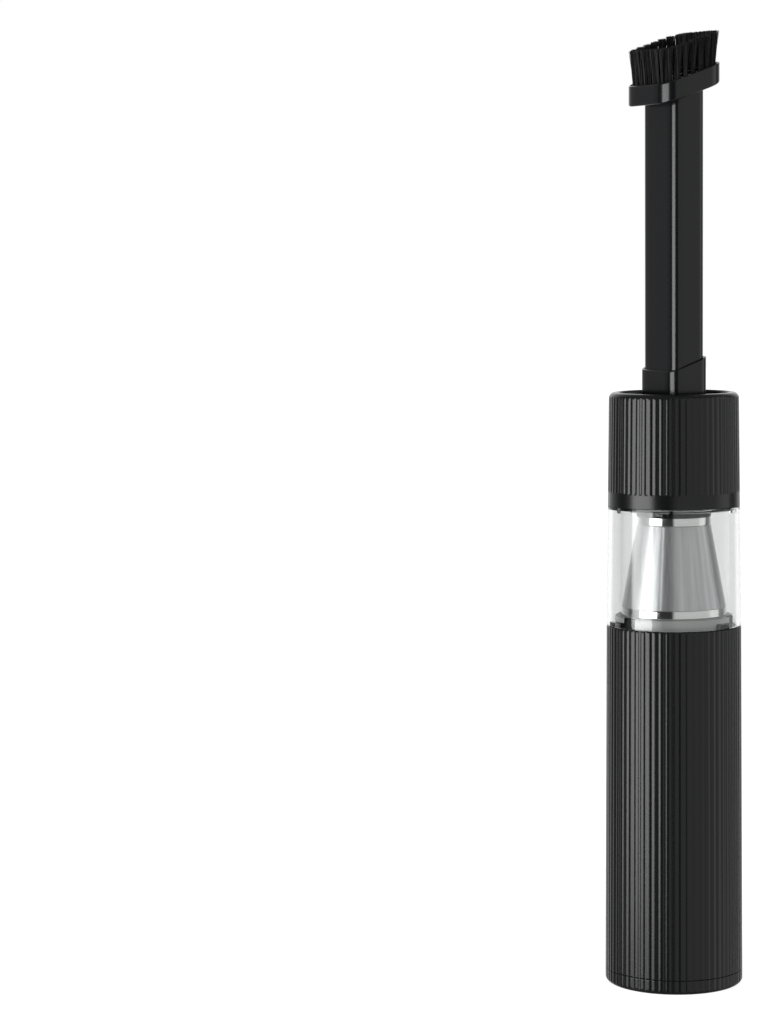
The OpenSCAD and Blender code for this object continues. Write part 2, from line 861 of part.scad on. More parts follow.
module dust_cup() {
    groove_t = 0.8;
    color(clear) {
        difference() {
            rotate_extrude() polygon([
                [cup_in_r, z_top + cup_lift], [cup_r, z_top + cup_lift], [cup_top_r, z_collar],
                [spigot_r, z_collar], [spigot_r, z_spigot], [spigot_r - spigot_wall, z_spigot],
                [spigot_r - spigot_wall, z_collar - cup_shoulder], [cup_top_in_r, z_collar - cup_shoulder]]);
            for (i = [0:2]) {
                turn = front + i * 120;
                key_from = turn - key_arc / 2 - turn_gap;
                groove_from = turn - collar_lug_arc / 2 - turn_gap;
                groove_arc = collar_lug_arc + 2 * turn_gap;
                ring_part(cup_top_in_r - key_way, key_r + key_t + slide_gap, z_collar - key_h - slide_gap,
                    key_h + 1, key_from, key_arc + collar_twist + 2 * turn_gap);
                ring_part(spigot_r - groove_t, spigot_r + 1, collar_lug_z - slide_gap,
                    collar_lug_h + 2 * slide_gap, groove_from, groove_arc + collar_twist);
                ring_part(spigot_r - groove_t - 0.1, spigot_r + 1, collar_lug_z, spigot_h,
                    groove_from + collar_twist + 0.3, groove_arc);
            }
        }
        for (i = [0:2]) {
            ring_part(neck_r + slide_gap, cup_in_r + 0.3, z_top + 0.3, cup_lug_h,
                lug_from + i * 120, cup_lug_arc);
        }
    }
}

// Cone filter
filter_r = filter_d / 2;
filter_top_r = filter_top_d / 2;
z_filter = z_bayonet_top;
z_mesh = z_filter + filter_ring_h;
z_mesh_top = z_mesh + mesh_h;
z_cap = z_mesh_top + filter_ring_h;
skirt_h = 5;
skirt_r = neck_in_r - slide_gap;
gasket_t = 1.5;
gasket_depth = 0.9;
z_gasket = z_filter - skirt_h / 2 - gasket_t / 2;
filter_cap_t = 2.7;
filter_plug_h = 3;
ring_wall = 1.3;
filter_ledge = 1.5;
core_end_t = 1.6;
core_seat_r = filter_r - 1.9;
pleat_out_r = filter_top_r - mesh_t - 1.4;
pleat_in_r = pleat_out_r * 0.72;
seam_turn = -43;
seam_w = 3;
seam_t = 0.3;

module filter_base() {
    color(bright_steel) difference() {
        rotate_extrude() polygon([
            [skirt_r - filter_ledge, z_filter - skirt_h], [skirt_r, z_filter - skirt_h],
            [skirt_r, z_filter], [filter_r, z_filter], [filter_r, z_mesh], [core_seat_r, z_mesh],
            [core_seat_r, z_mesh - core_end_t], [skirt_r - filter_ledge, z_mesh - core_end_t]]);
        ring(skirt_r - gasket_depth, skirt_r + 1, z_gasket, gasket_t);
    }
}

module filter_gasket() {
    color("#2f2f31") ring(skirt_r - gasket_depth, neck_in_r - seat_gap, z_gasket, gasket_t);
}

module filter_mesh() {
    lean = atan((filter_r - filter_top_r) / mesh_h);
    low_r = filter_r - 0.2;
    top_r = filter_top_r - 0.2;
    color("#a9abad") {
        rotate_extrude() polygon([
            [low_r, z_mesh], [top_r, z_mesh_top], [top_r - mesh_t, z_mesh_top], [low_r - mesh_t, z_mesh]]);
        rotate([0, 0, seam_turn]) translate([low_r - mesh_t / 2, -seam_w / 2, z_mesh + 0.2])
            rotate([0, -lean, 0]) cube([seam_t + mesh_t / 2, seam_w, (mesh_h - 0.6) / cos(lean)]);
    }
}

module filter_core() {
    z_from = z_mesh - core_end_t;
    pleat_h = z_cap - filter_plug_h - seat_gap - z_mesh;
    color("#e4e4df") {
        difference() {
            disc(core_seat_r - seat_gap, z_from, core_end_t);
            disc(pleat_in_r, z_from - 1, core_end_t + 2);
        }
        translate([0, 0, z_mesh - eps]) linear_extrude(pleat_h + eps) difference() {
            polygon([for (i = [0:2 * pleat_count - 1])
                on_circle(i % 2 == 0 ? pleat_out_r : pleat_in_r + 1, i * 180 / pleat_count)]);
            circle(r = pleat_in_r);
        }
    }
}

module filter_top_ring() {
    color(bright_steel) ring(filter_top_r - ring_wall, filter_top_r, z_mesh_top, filter_ring_h);
}

module filter_cap() {
    edge = 0.5;
    color(soft_black) {
        rotate_extrude() polygon([
            [0, z_cap], [filter_top_r, z_cap], [filter_top_r, z_cap + filter_cap_t - edge],
            [filter_top_r - edge, z_cap + filter_cap_t], [0, z_cap + filter_cap_t]]);
        disc(filter_top_r - ring_wall - seat_gap, z_cap - filter_plug_h, filter_plug_h + eps);
    }
}

// Collar
collar_top_r = collar_top_d / 2;
collar_lift = seat_gap;
collar_rim = 2.5;
well_r = well_d / 2;
z_band = z_collar + collar_band_h;
z_rim = z_collar_top - collar_rim;
rim_edge = 0.6;
collar_round = min(collar_edge, collar_top_r - well_r - rim_edge);
collar_band_r = collar_r - (collar_r - collar_top_r) * collar_band_h / collar_len;

module collar() {
    color(charcoal) {
        difference() {
            rotate_extrude() polygon(concat(
                [[collar_bore_r, z_collar + collar_lift], [collar_r, z_collar + collar_lift],
                    [collar_band_r, z_band]],
                arc([collar_top_r - collar_round, z_collar_top - collar_round], collar_round, 0, 90, 6),
                [[well_r + rim_edge, z_collar_top], [well_r, z_collar_top - rim_edge],
                    [well_r, z_rim], [collar_bore_r, z_rim]]));
            reed_grooves(collar_band_r, collar_top_r, z_band, z_collar_top - z_band - collar_round * 0.4);
        }
        for (i = [0:2]) {
            turn = front + i * 120;
            ring_part(key_r, key_r + key_t, z_collar - key_h, key_h + 0.3, turn - key_arc / 2, key_arc);
            ring_part(spigot_r - collar_lug_t, collar_bore_r + 0.3, collar_lug_z, collar_lug_h,
                turn - collar_lug_arc / 2, collar_lug_arc);
        }
    }
}

// Inlet: plate, well and the sleeve that grips the nozzle
seal_stack = 2.2;
plate_t = 2.5;
well_wall = 1.2;
z_plate = z_spigot + seal_stack;
plate_r = collar_bore_r - seat_gap;
well_land = 1.4;
well_wall_r = plate_r - well_land;
z_mouth = z_collar_top + sleeve_rise;
z_stop = z_mouth - nozzle_grip;
socket_x = nozzle_x + 2 * slide_gap;
socket_y = nozzle_y + 2 * slide_gap;
socket_corner = nozzle_corner + slide_gap;
sleeve_x = socket_x + 2 * sleeve_wall;
sleeve_y = socket_y + 2 * sleeve_wall;
sleeve_corner = socket_corner + sleeve_wall;
duct_x = nozzle_x - 2 * nozzle_wall;
duct_y = nozzle_y - 2 * nozzle_wall;
duct_corner = nozzle_corner - nozzle_wall;
slope_rise = reach * 0.2;

module collar_seal() {
    color("#2f2f31") ring(spigot_r - spigot_wall, spigot_r - 0.1, z_spigot + seat_gap, seal_stack - seat_gap);
}

module inlet_sleeve() {
    color(soft_black) difference() {
        union() {
            disc(plate_r, z_plate, plate_t);
            ring(well_wall_r - well_wall, well_wall_r, z_plate + plate_t - eps,
                z_rim - z_plate - plate_t + eps);
            difference() {
                rounded_bar(sleeve_x, sleeve_y, sleeve_corner, z_plate, z_mouth + slope_rise - z_plate);
                above_slope(z_mouth);
            }
        }
        rounded_bar(socket_x, socket_y, socket_corner, z_stop, reach);
        rounded_bar(duct_x, duct_y, duct_corner, z_plate - 1, reach);
    }
}

// Crevice nozzle
z_brush = z_mouth + nozzle_reach;
z_brush_top = z_brush + brush_h;
z_tip = z_brush_top + nozzle_tip;

module nozzle_tube() {
    color(charcoal) difference() {
        rounded_bar(nozzle_x, nozzle_y, nozzle_corner, z_stop + seat_gap, z_tip + slope_rise - z_stop);
        rounded_bar(duct_x, duct_y, duct_corner, z_stop - 1, z_tip + slope_rise - z_stop + 5);
        above_slope(z_tip);
    }
}

// Dusting brush
brush_rim = 0.9;
brush_hub = 0.8;
backing_t = 1.5;
backing_sink = 0.2;
tuft_strands = 7;
tuft_r = 0.8;
outer_inset = 2.1;
inner_inset = 3.7;

// Ring-shaped bar round the nozzle, inset from the brush's outside and stood off its bore
module brush_bar(inset, hub, from, h) {
    translate([0, 0, from]) linear_extrude(h) difference() {
        rounded_rect(brush_x - 2 * inset, brush_y - 2 * inset, brush_corner - inset);
        rounded_rect(socket_x + 2 * hub, socket_y + 2 * hub, socket_corner + hub);
    }
}

module brush_ring() {
    color(charcoal) difference() {
        brush_bar(0, 0, z_brush - slope_rise / 2, brush_h + slope_rise);
        above_slope(z_brush_top);
        difference() {
            translate([-reach / 2, -reach / 2, z_brush - slope_rise]) cube([reach, reach, 2 * slope_rise]);
            above_slope(z_brush);
        }
        intersection() {
            brush_bar(brush_rim, brush_hub, z_brush, brush_h + slope_rise);
            above_slope(z_brush_top - backing_t - backing_sink);
        }
    }
}

// Point at a distance along a rounded rectangle, from the start of its front side
function track(d, x, y, r) =
    let (a = x - 2 * r, b = y - 2 * r, q = PI * r / 2, turn = function (s) 90 * s / q)
    d < a ? [d - a / 2, -y / 2] :
    d < a + q ? [a / 2, -b / 2] + r * [sin(turn(d - a)), -cos(turn(d - a))] :
    d < a + q + b ? [x / 2, d - a - q - b / 2] :
    d < a + 2 * q + b ? [a / 2, b / 2] + r * [cos(turn(d - a - q - b)), sin(turn(d - a - q - b))] :
    -track(d - a - 2 * q - b, x, y, r);

function track_len(x, y, r) = 2 * (x + y) - 8 * r + 2 * PI * r;

module tuft_row(inset, count, phase) {
    x = brush_x - 2 * inset;
    y = brush_y - 2 * inset;
    r = brush_corner - inset;
    for (i = [0:count - 1]) {
        translate(track((i + phase) * track_len(x, y, r) / count, x, y, r)) {
            circle(r = bristle_r, $fn = 3);
            for (k = [0:tuft_strands - 1]) rotate(k * 360 / tuft_strands) translate([tuft_r, 0])
                circle(r = bristle_r, $fn = 3);
        }
    }
}

// Bristles and the slice of backing that they grow from, cut level and then sheared to the slope
module bristles() {
    z_backing = z_brush_top - backing_t - backing_sink;
    root = backing_t / 2;
    tip_h = bristle_len + backing_sink + root;
    lean = [[1, 0, 0, 0], [0, 1, 0, 0], [0, tan(mouth_slope), 1, 0]];
    color("#17181a") resize([0, 0, 0]) multmatrix(lean) {
        brush_bar(brush_rim + seat_gap, brush_hub + seat_gap, z_backing, backing_t);
        translate([0, 0, z_backing + root]) linear_extrude(tip_h, scale = bristle_splay) {
            tuft_row(outer_inset, outer_tufts, 0);
            tuft_row(inner_inset, inner_tufts, 0.5);
        }
    }
}

base_cap();
base_screws();
control_board();
board_components();
charge_port();
lower_cell_holder();
battery_cells();
cell_tabs();
upper_cell_holder();
power_leads();
motor_mount();
motor_can();
motor_stator();
motor_windings();
motor_bearings();
motor_end_cap();
rotor_shaft();
rotor_magnet();
impeller();
diffuser();
fan_cover();
fan_mount();
exhaust_foam();
switch_board();
tact_switch();
power_button();
status_light();
body_casing();
intake_seat();
bayonet_ring();
cup_seal();
dust_cup();
filter_base();
filter_gasket();
filter_mesh();
filter_core();
filter_top_ring();
filter_cap();
collar();
collar_seal();
inlet_sleeve();
nozzle_tube();
brush_ring();
bristles();
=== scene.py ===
"""Looks, light and camera for a slim battery vacuum cleaner for cars.

Every shape is worked out in millimetres in the frame of the solids, and goes to metres in its mesh.
"""

import math

import bpy
import numpy as np
from mathutils import Matrix, Vector


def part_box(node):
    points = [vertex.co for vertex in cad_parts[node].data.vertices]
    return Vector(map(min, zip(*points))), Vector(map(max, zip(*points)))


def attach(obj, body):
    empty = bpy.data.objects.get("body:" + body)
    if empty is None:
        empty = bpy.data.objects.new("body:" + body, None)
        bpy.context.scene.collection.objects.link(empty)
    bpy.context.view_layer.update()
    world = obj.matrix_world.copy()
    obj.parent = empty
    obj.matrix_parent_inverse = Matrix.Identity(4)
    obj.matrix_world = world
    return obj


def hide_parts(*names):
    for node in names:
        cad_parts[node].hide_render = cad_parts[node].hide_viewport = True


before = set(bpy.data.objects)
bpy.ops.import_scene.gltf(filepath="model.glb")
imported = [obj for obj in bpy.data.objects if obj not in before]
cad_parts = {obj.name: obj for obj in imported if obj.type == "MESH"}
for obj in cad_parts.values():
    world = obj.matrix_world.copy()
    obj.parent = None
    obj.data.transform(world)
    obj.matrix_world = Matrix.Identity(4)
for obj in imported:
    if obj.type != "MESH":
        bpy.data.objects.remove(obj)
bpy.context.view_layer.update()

MM = 0.001
TAU = 2 * math.pi

# Bearing of the camera about the axis, in degrees
VIEW_TURN = -32
# Rise of the slanted cuts on sleeve, brush ring and nozzle tip, for each mm towards +Y
SLOPE = math.tan(math.radians(19))

# Reeds round handle and collar, and the points across one reed
REEDS = 64
REED_STEPS = 12
# Half width and depth of a groove, reach of its round end, and softness of the crests
GROOVE_HALF = 1.2
GROOVE_DEPTH = 0.22
GROOVE_BALL = 0.74
CREST_EDGE = 0.03

# Radii of handle, cup and collar
HANDLE_R = 30
HANDLE_TOP_R = 29.25
BORE_R = 26.85
CUP_R = 29.2
COLLAR_R = 28.65
COLLAR_TOP_R = 28.05
COLLAR_BORE_R = 26.65
# Bearings of the screws, of the cup's lugs and of the collar's keys
LUG_TURNS = (-90, 30, 150)
# Heights of a key, of the collar's smooth band, of the cup's shoulder and of the filter's lower ring
KEY_HEIGHT = 2.2
BAND_HEIGHT = 6.7
SHOULDER = 1
RING_HEIGHT = 3.8

# Points round reeded pieces, rings, plates, the button, holes and the light pipe, and the points along
# an arc with a radius under each size
REEDED_POINTS = REEDS * REED_STEPS
RING_POINTS = 256
PLATE_POINTS = 192
BUTTON_POINTS = 96
HOLE_POINTS = 48
PIPE_POINTS = 32
ARC_POINTS = ((0.5, 3), (1.5, 5), (math.inf, 14))
# Past a rounded corner, a side that runs on for longer than this gets a point this far from the arc
LONG_SIDE = 3
STAY = 0.25
# Edges over this angle are creases, in degrees, also where filaments are shaded as round
CREASE = 32
STRAND_CREASE = 80
# Half the straight side that is left between the round ends of a slot
SLOT_SIDE = 0.001


def span(node, axis="z"):
    """Lowest and highest place of a solid along an axis, in mm."""
    k = "xyz".index(axis)
    low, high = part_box(node)
    return low[k] / MM, high[k] / MM


# Camera

# Place in metres, turns in degrees, and focal length and frame height in pixels
CAMERA_PLACE = (1.10696, -0.69171, 0.3190)
CAMERA_TURNS = (5.56644, 4.9, -0.47696)
FOCAL_LENGTH = 3000
FRAME_HEIGHT = 1024
SENSOR = 36


def aim_camera():
    """Camera a little above the collar, looking past the axis to its left and slightly down."""
    place = Vector(CAMERA_PLACE)
    yaw, pitch, roll = (math.radians(a) for a in CAMERA_TURNS)
    level = Vector((-place.x, -place.y, 0)).normalized()
    level = Matrix.Rotation(yaw, 3, "Z") @ level
    up = Vector((0, 0, 1))
    side = level.cross(up)
    ahead = level * math.cos(pitch) - up * math.sin(pitch)
    top = side.cross(ahead)
    right = side * math.cos(roll) + top * math.sin(roll)
    top = top * math.cos(roll) - side * math.sin(roll)
    lens = bpy.data.cameras.new("photo_camera")
    lens.sensor_width = SENSOR
    lens.lens = FOCAL_LENGTH * SENSOR / FRAME_HEIGHT
    camera = bpy.data.objects.new("photo_camera", lens)
    turn = Matrix((right, top, -ahead)).transposed().to_4x4()
    camera.matrix_world = Matrix.Translation(place) @ turn
    bpy.context.scene.collection.objects.link(camera)
    bpy.context.scene.camera = camera


# Nodes

def add(tree, kind, inputs=None, stops=(), **settings):
    """Adds a node, sets its properties, fills or links its inputs by name or number, and lays the
    stops of its colour band, each a place and a grey or a colour. A node given as an input stands
    for its first output."""
    node = tree.nodes.new(kind)
    for key, value in settings.items():
        setattr(node, key, value)
    for key, value in (inputs or {}).items():
        if isinstance(value, bpy.types.Node):
            value = value.outputs[0]
        if isinstance(value, bpy.types.NodeSocket):
            tree.links.new(value, node.inputs[key])
        else:
            node.inputs[key].default_value = value
    for count, (place, tone) in enumerate(stops):
        band = node.color_ramp.elements
        element = band[count] if count < len(band) else band.new(place)
        element.position = place
        element.color = tone if isinstance(tone, tuple) else grey(tone)
    return node


def grey(level):
    """Linear colour of one level."""
    return (level, level, level, 1)


def linear(hex_colour):
    """Linear colour of an sRGB hex value."""
    parts = np.array([int(hex_colour[i:i + 2], 16) for i in (1, 3, 5)]) / 255
    parts = np.where(parts <= 0.04045, parts / 12.92, ((parts + 0.055) / 1.055) ** 2.4)
    return (*parts.tolist(), 1.0)


# Light and floor

# Brightness of the room by bearing from the camera's side, in degrees, right positive
STUDIO = (
    (-180, 1.2), (-152, 0.95), (-138, 0.62), (-126, 0.4), (-116, 0.24), (-109, 0.06), (-94, 0.03), (-84, 0.3),
    (-76, 0.4), (-38, 0.35), (-31, 0.03), (-4, 0.03), (3, 0.68), (80, 0.7), (88, 1.05), (108, 1.05),
    (116, 0.16), (132, 0.14), (142, 0.5), (156, 0.75), (172, 1.2), (180, 1.2),
)
# Brightness of ceiling and ground, and the slopes of a ray between which the walls fade to them
CEILING = 0.25
CEILING_FADE = (0.35, 0.7)
# Brightness of the room for rays that leave through the cup's wall: they passed fewer surfaces than
# this, and run off by more than this share of a turn from the camera's side
CUP_WALL = 1.3
CUP_WALL_DEPTH = 2.5
CUP_WALL_TURN = 0.31


def light_studio():
    """White backdrop for the eye, and for light that only went through the clear cup. All other
    rays see the room round the object: bright panels and dark gaps by their bearing."""
    world = bpy.data.worlds.new("studio")
    bpy.context.scene.world = world
    world.use_nodes = True
    tree = world.node_tree
    tree.nodes.clear()
    way = add(tree, "ShaderNodeSeparateXYZ", {0: add(tree, "ShaderNodeTexCoord").outputs["Generated"]})
    bearing = add(tree, "ShaderNodeMath", {0: way.outputs[1], 1: way.outputs[0]}, operation="ARCTAN2")
    share = add(tree, "ShaderNodeMath", {0: bearing, 1: 1 / TAU, 2: 0.5 - VIEW_TURN / 360},
                operation="MULTIPLY_ADD")
    share = add(tree, "ShaderNodeMath", {0: share}, operation="FRACT")
    room = add(tree, "ShaderNodeValToRGB", {0: share}, [((turn + 180) / 360, tone) for turn, tone in STUDIO])

    path = add(tree, "ShaderNodeLightPath")
    near = add(tree, "ShaderNodeMath", {0: share, 1: 0.5, 2: CUP_WALL_TURN}, operation="COMPARE")
    away = add(tree, "ShaderNodeMath", {0: 1.0, 1: near}, operation="SUBTRACT")
    wall = add(tree, "ShaderNodeMath", {0: path.outputs["Transmission Depth"], 1: CUP_WALL_DEPTH},
               operation="LESS_THAN")
    wall = add(tree, "ShaderNodeMath", {0: wall, 1: path.outputs["Is Transmission Ray"]},
               operation="MULTIPLY")
    wall = add(tree, "ShaderNodeMath", {0: wall, 1: away}, operation="MULTIPLY")
    room = add(tree, "ShaderNodeMix", {0: wall, 6: room, 7: grey(CUP_WALL)}, data_type="RGBA")

    height = add(tree, "ShaderNodeMath", {0: way.outputs[2]}, operation="ABSOLUTE")
    height = add(tree, "ShaderNodeMapRange", {0: height, 1: CEILING_FADE[0], 2: CEILING_FADE[1]})
    room = add(tree, "ShaderNodeMix", {0: height, 6: room.outputs[2], 7: grey(CEILING)}, data_type="RGBA")

    through = add(tree, "ShaderNodeMath",
                  {0: path.outputs["Glossy Depth"], 1: path.outputs["Diffuse Depth"]})
    through = add(tree, "ShaderNodeMath", {0: through, 1: 0.5}, operation="LESS_THAN")
    through = add(tree, "ShaderNodeMath", {0: through, 1: path.outputs["Is Transmission Ray"]},
                  operation="MULTIPLY")
    straight = add(tree, "ShaderNodeMath", {0: through, 1: path.outputs["Is Camera Ray"]},
                   operation="MAXIMUM")
    lit = add(tree, "ShaderNodeBackground", {0: room.outputs[2]})
    white = add(tree, "ShaderNodeBackground", {0: grey(1)})
    both = add(tree, "ShaderNodeMixShader", {0: straight, 1: lit, 2: white})
    add(tree, "ShaderNodeOutputWorld", {0: both})


def hang_panel(name, bearing, distance, width, low, high, brightness):
    """Soft panel that faces the axis, with its lower and upper edge in metres and its brightness
    as radiance, from which the lamp's power is worked out."""
    lamp = bpy.data.lights.new(name, "AREA")
    lamp.shape = "RECTANGLE"
    lamp.size = width
    lamp.size_y = high - low
    lamp.energy = brightness * math.pi * width * (high - low)
    panel = bpy.data.objects.new(name, lamp)
    turn = math.radians(VIEW_TURN + bearing)
    place = Vector((math.cos(turn) * distance, math.sin(turn) * distance, (low + high) / 2))
    facing = Vector((-math.cos(turn), -math.sin(turn), 0)).to_track_quat("-Z", "Y")
    panel.matrix_world = Matrix.Translation(place) @ facing.to_matrix().to_4x4()
    panel.visible_camera = False
    bpy.context.scene.collection.objects.link(panel)


# Half the side of the floor in metres, the glow that makes it white to the eye, its roughness, and
# the size of its fibres as drawn, in mm
FLOOR_HALF = 6
FLOOR_GLOW = 0.86
FLOOR_ROUGH = 0.6
FIBRE = 1.111
# The values between which most of a noise lies
NOISE = (0.3, 0.7)


def lay_floor():
    """Pale paper floor, which the eye sees as white apart from the shadow at the foot. Real fibres
    are too fine to show, so they are drawn about a millimetre wide."""
    mesh = bpy.data.meshes.new("floor")
    corners = [(x * FLOOR_HALF, y * FLOOR_HALF, 0) for x, y in ((-1, -1), (1, -1), (1, 1), (-1, 1))]
    mesh.from_pydata(corners, [], [(0, 1, 2, 3)])
    floor = bpy.data.objects.new("floor", mesh)
    material = bpy.data.materials.new("matt_white_paper_sweep")
    material.use_nodes = True
    tree = material.node_tree
    tree.nodes.clear()
    path = add(tree, "ShaderNodeLightPath")
    place = add(tree, "ShaderNodeTexCoord").outputs["Object"]
    fibre = add(tree, "ShaderNodeTexNoise", {"Vector": place, "Scale": 1 / (FIBRE * MM), "Detail": 3.0})
    tone = add(tree, "ShaderNodeValToRGB", {0: fibre}, zip(NOISE, (linear("#d2d2d1"), linear("#dadad9"))))
    paper = add(tree, "ShaderNodeBsdfDiffuse", {0: tone, 1: FLOOR_ROUGH})
    glow = add(tree, "ShaderNodeEmission", {0: grey(1), 1: FLOOR_GLOW})
    dark = add(tree, "ShaderNodeEmission", {0: grey(0), 1: 0.0})
    lit = add(tree, "ShaderNodeMixShader", {0: path.outputs["Is Camera Ray"], 1: dark, 2: glow})
    both = add(tree, "ShaderNodeAddShader", {0: paper, 1: lit})
    add(tree, "ShaderNodeOutputMaterial", {0: both})
    mesh.materials.append(material)
    floor.visible_glossy = False
    floor.visible_transmission = False
    floor.visible_shadow = False
    bpy.context.scene.collection.objects.link(floor)


# Finishes

def shader(name, **fixed):
    """New material: its tree, its Principled shader with the given constants, and its place on
    the object, in metres."""
    material = bpy.data.materials.new(name)
    material.use_nodes = True
    tree = material.node_tree
    tree.nodes.clear()
    constants = {key.replace("_", " "): value for key, value in fixed.items()}
    skin = add(tree, "ShaderNodeBsdfPrincipled", constants)
    add(tree, "ShaderNodeOutputMaterial", {0: skin})
    return material, tree, skin, add(tree, "ShaderNodeTexCoord").outputs["Object"]


def coat(tree, skin, colour, gloss, bump):
    """Links colour, roughness and bump to the shader."""
    tree.links.new(colour, skin.inputs["Base Color"])
    tree.links.new(gloss.outputs[0], skin.inputs["Roughness"])
    tree.links.new(bump.outputs[0], skin.inputs["Normal"])


# Grey of rub wear and of a painted sheen on pointed edges and reed crests, and the pointiness from and to
# which it shows
WEAR_AND_SHEEN_GREY = "#55565a"
WEAR_AND_SHEEN_EDGE = (0.52, 0.62)


def finish(name, dark, light, rough, grain, depth, stretch=(1, 1, 1), wear_and_sheen=0.0, **fixed):
    """Finish from one grain. Noise with cells of a size in mm, stretched along the axes, mixes two
    tones, moves the roughness between two values and lifts the surface by a depth in mm. Wear and a
    painted sheen make pointed edges and reed crests paler."""
    material, tree, skin, place = shader(name, **fixed)
    size = [1 / (grain * MM * s) for s in stretch]
    place = add(tree, "ShaderNodeMapping", {"Vector": place, "Scale": size})
    cells = add(tree, "ShaderNodeTexNoise", {"Vector": place, "Scale": 1.0, "Detail": 2.0})
    tone = add(tree, "ShaderNodeValToRGB", {0: cells}, zip(NOISE, (linear(dark), linear(light))))
    colour = tone.outputs[0]
    # Rub wear and a painted sheen: paler grey mixed in where the surface is pointed, on edges and reed crests
    if wear_and_sheen:
        edge = add(tree, "ShaderNodeNewGeometry").outputs["Pointiness"]
        edge = add(tree, "ShaderNodeMapRange", {0: edge, 1: WEAR_AND_SHEEN_EDGE[0], 2: WEAR_AND_SHEEN_EDGE[1], 4: wear_and_sheen})
        colour = add(tree, "ShaderNodeMix", {0: edge, 6: colour, 7: linear(WEAR_AND_SHEEN_GREY)},
                     data_type="RGBA").outputs[2]
    gloss = add(tree, "ShaderNodeMapRange", {0: cells, 1: NOISE[0], 2: NOISE[1], 3: rough[0], 4: rough[1]})
    bump = add(tree, "ShaderNodeBump", {"Height": cells, "Distance": depth * MM, "Strength": 1.0})
    coat(tree, skin, colour, gloss, bump)
    return material


# Pitch and lift of the wires as drawn, in mm, and the bands of a wave texture of scale 1 in one unit
WIRE_PITCH = 0.5
WIRE_LIFT = 0.003
WAVE_BANDS = 3.18
# Width and length of the painted streaks of sheen in mm, and how much light the painted shade keeps in the
# gaps and the darkest streaks
SHEEN_STREAK = (1.818, 50)
GAP_SHADE = 0.75
SHEEN_STREAK_SHADE = 0.6
# Roughness of gaps and wires
WIRE_ROUGH = (0.4, 0.32)


def woven_wire():
    """Stainless wire cloth of the filter cone. Two sets of waves on the cone's own map, round and up,
    stand for the wires, with painted shade in the gaps. Real ones are 0.1 mm apart, drawn at 0.5 mm so
    that they show. The cloth scatters part of the light, and painted streaks of sheen run up it."""
    material, tree, skin, _ = shader("woven_stainless_wire_cloth", Metallic=0.66)
    place = add(tree, "ShaderNodeUVMap", uv_map="round_and_up").outputs[0]
    scale = 1 / WIRE_PITCH / WAVE_BANDS
    waves = [
        add(tree, "ShaderNodeTexWave", {"Vector": place, "Scale": scale, "Distortion": 0.0},
            wave_type="BANDS", bands_direction=way).outputs[0]
        for way in ("X", "Y")
    ]
    wires = add(tree, "ShaderNodeMath", {0: waves[0], 1: waves[1]}, operation="MAXIMUM")
    # Painted streaks of sheen and shade, running up the cloth
    sheen_streaks = add(tree, "ShaderNodeMapping", {"Vector": place, "Scale": (1 / SHEEN_STREAK[0], 1 / SHEEN_STREAK[1], 1)})
    sheen_streaks = add(tree, "ShaderNodeTexNoise", {"Vector": sheen_streaks, "Scale": 1.0, "Detail": 2.0})
    sheen_streaks = add(tree, "ShaderNodeMapRange", {0: sheen_streaks, 1: NOISE[0], 2: NOISE[1], 3: SHEEN_STREAK_SHADE})
    # Painted shade in the gaps between the wires
    shade = add(tree, "ShaderNodeMath", {0: wires, 1: 1 - GAP_SHADE, 2: GAP_SHADE}, operation="MULTIPLY_ADD")
    shade = add(tree, "ShaderNodeMath", {0: shade, 1: sheen_streaks}, operation="MULTIPLY")
    tone = add(tree, "ShaderNodeValToRGB", {0: shade},
               [(GAP_SHADE * SHEEN_STREAK_SHADE, linear("#c9cacb")), (1.0, linear("#f6f7f7"))])
    gloss = add(tree, "ShaderNodeMapRange", {0: wires, 3: WIRE_ROUGH[0], 4: WIRE_ROUGH[1]})
    bump = add(tree, "ShaderNodeBump", {"Height": wires, "Distance": WIRE_LIFT * MM, "Strength": 0.4})
    coat(tree, skin, tone.outputs[0], gloss, bump)
    return material


# Width, depth and height of the wiping marks in mm, the noise that they cover, and their roughness
WIPE = (6.25, 6.25, 1.111)
WIPE_NOISE = (0.35, 0.7)
WIPE_ROUGH = (0.02, 0.06)
# Length and lift of the mould's ripple, in mm
RIPPLE = 18.18
RIPPLE_LIFT = 0.02


def clear_polycarbonate():
    """Clear moulded polycarbonate, polished inside and out. Fine wiping marks change its gloss a
    little, and a slow ripple from the mould bends what shows through."""
    material, tree, skin, place = shader("clear_polycarbonate", Base_Color=linear("#eeefef"), IOR=1.46,
                                         Transmission_Weight=1.0)
    wipes = add(tree, "ShaderNodeMapping", {"Vector": place, "Scale": [1 / (size * MM) for size in WIPE]})
    wipes = add(tree, "ShaderNodeTexNoise", {"Vector": wipes, "Scale": 1.0, "Detail": 3.0})
    gloss = add(tree, "ShaderNodeMapRange",
                {0: wipes, 1: WIPE_NOISE[0], 2: WIPE_NOISE[1], 3: WIPE_ROUGH[0], 4: WIPE_ROUGH[1]})
    ripple = add(tree, "ShaderNodeTexNoise", {"Vector": place, "Scale": 1 / (RIPPLE * MM), "Detail": 1.0})
    bump = add(tree, "ShaderNodeBump", {"Height": ripple, "Distance": RIPPLE_LIFT * MM, "Strength": 0.5})
    tree.links.new(gloss.outputs[0], skin.inputs["Roughness"])
    tree.links.new(bump.outputs[0], skin.inputs["Normal"])
    return material


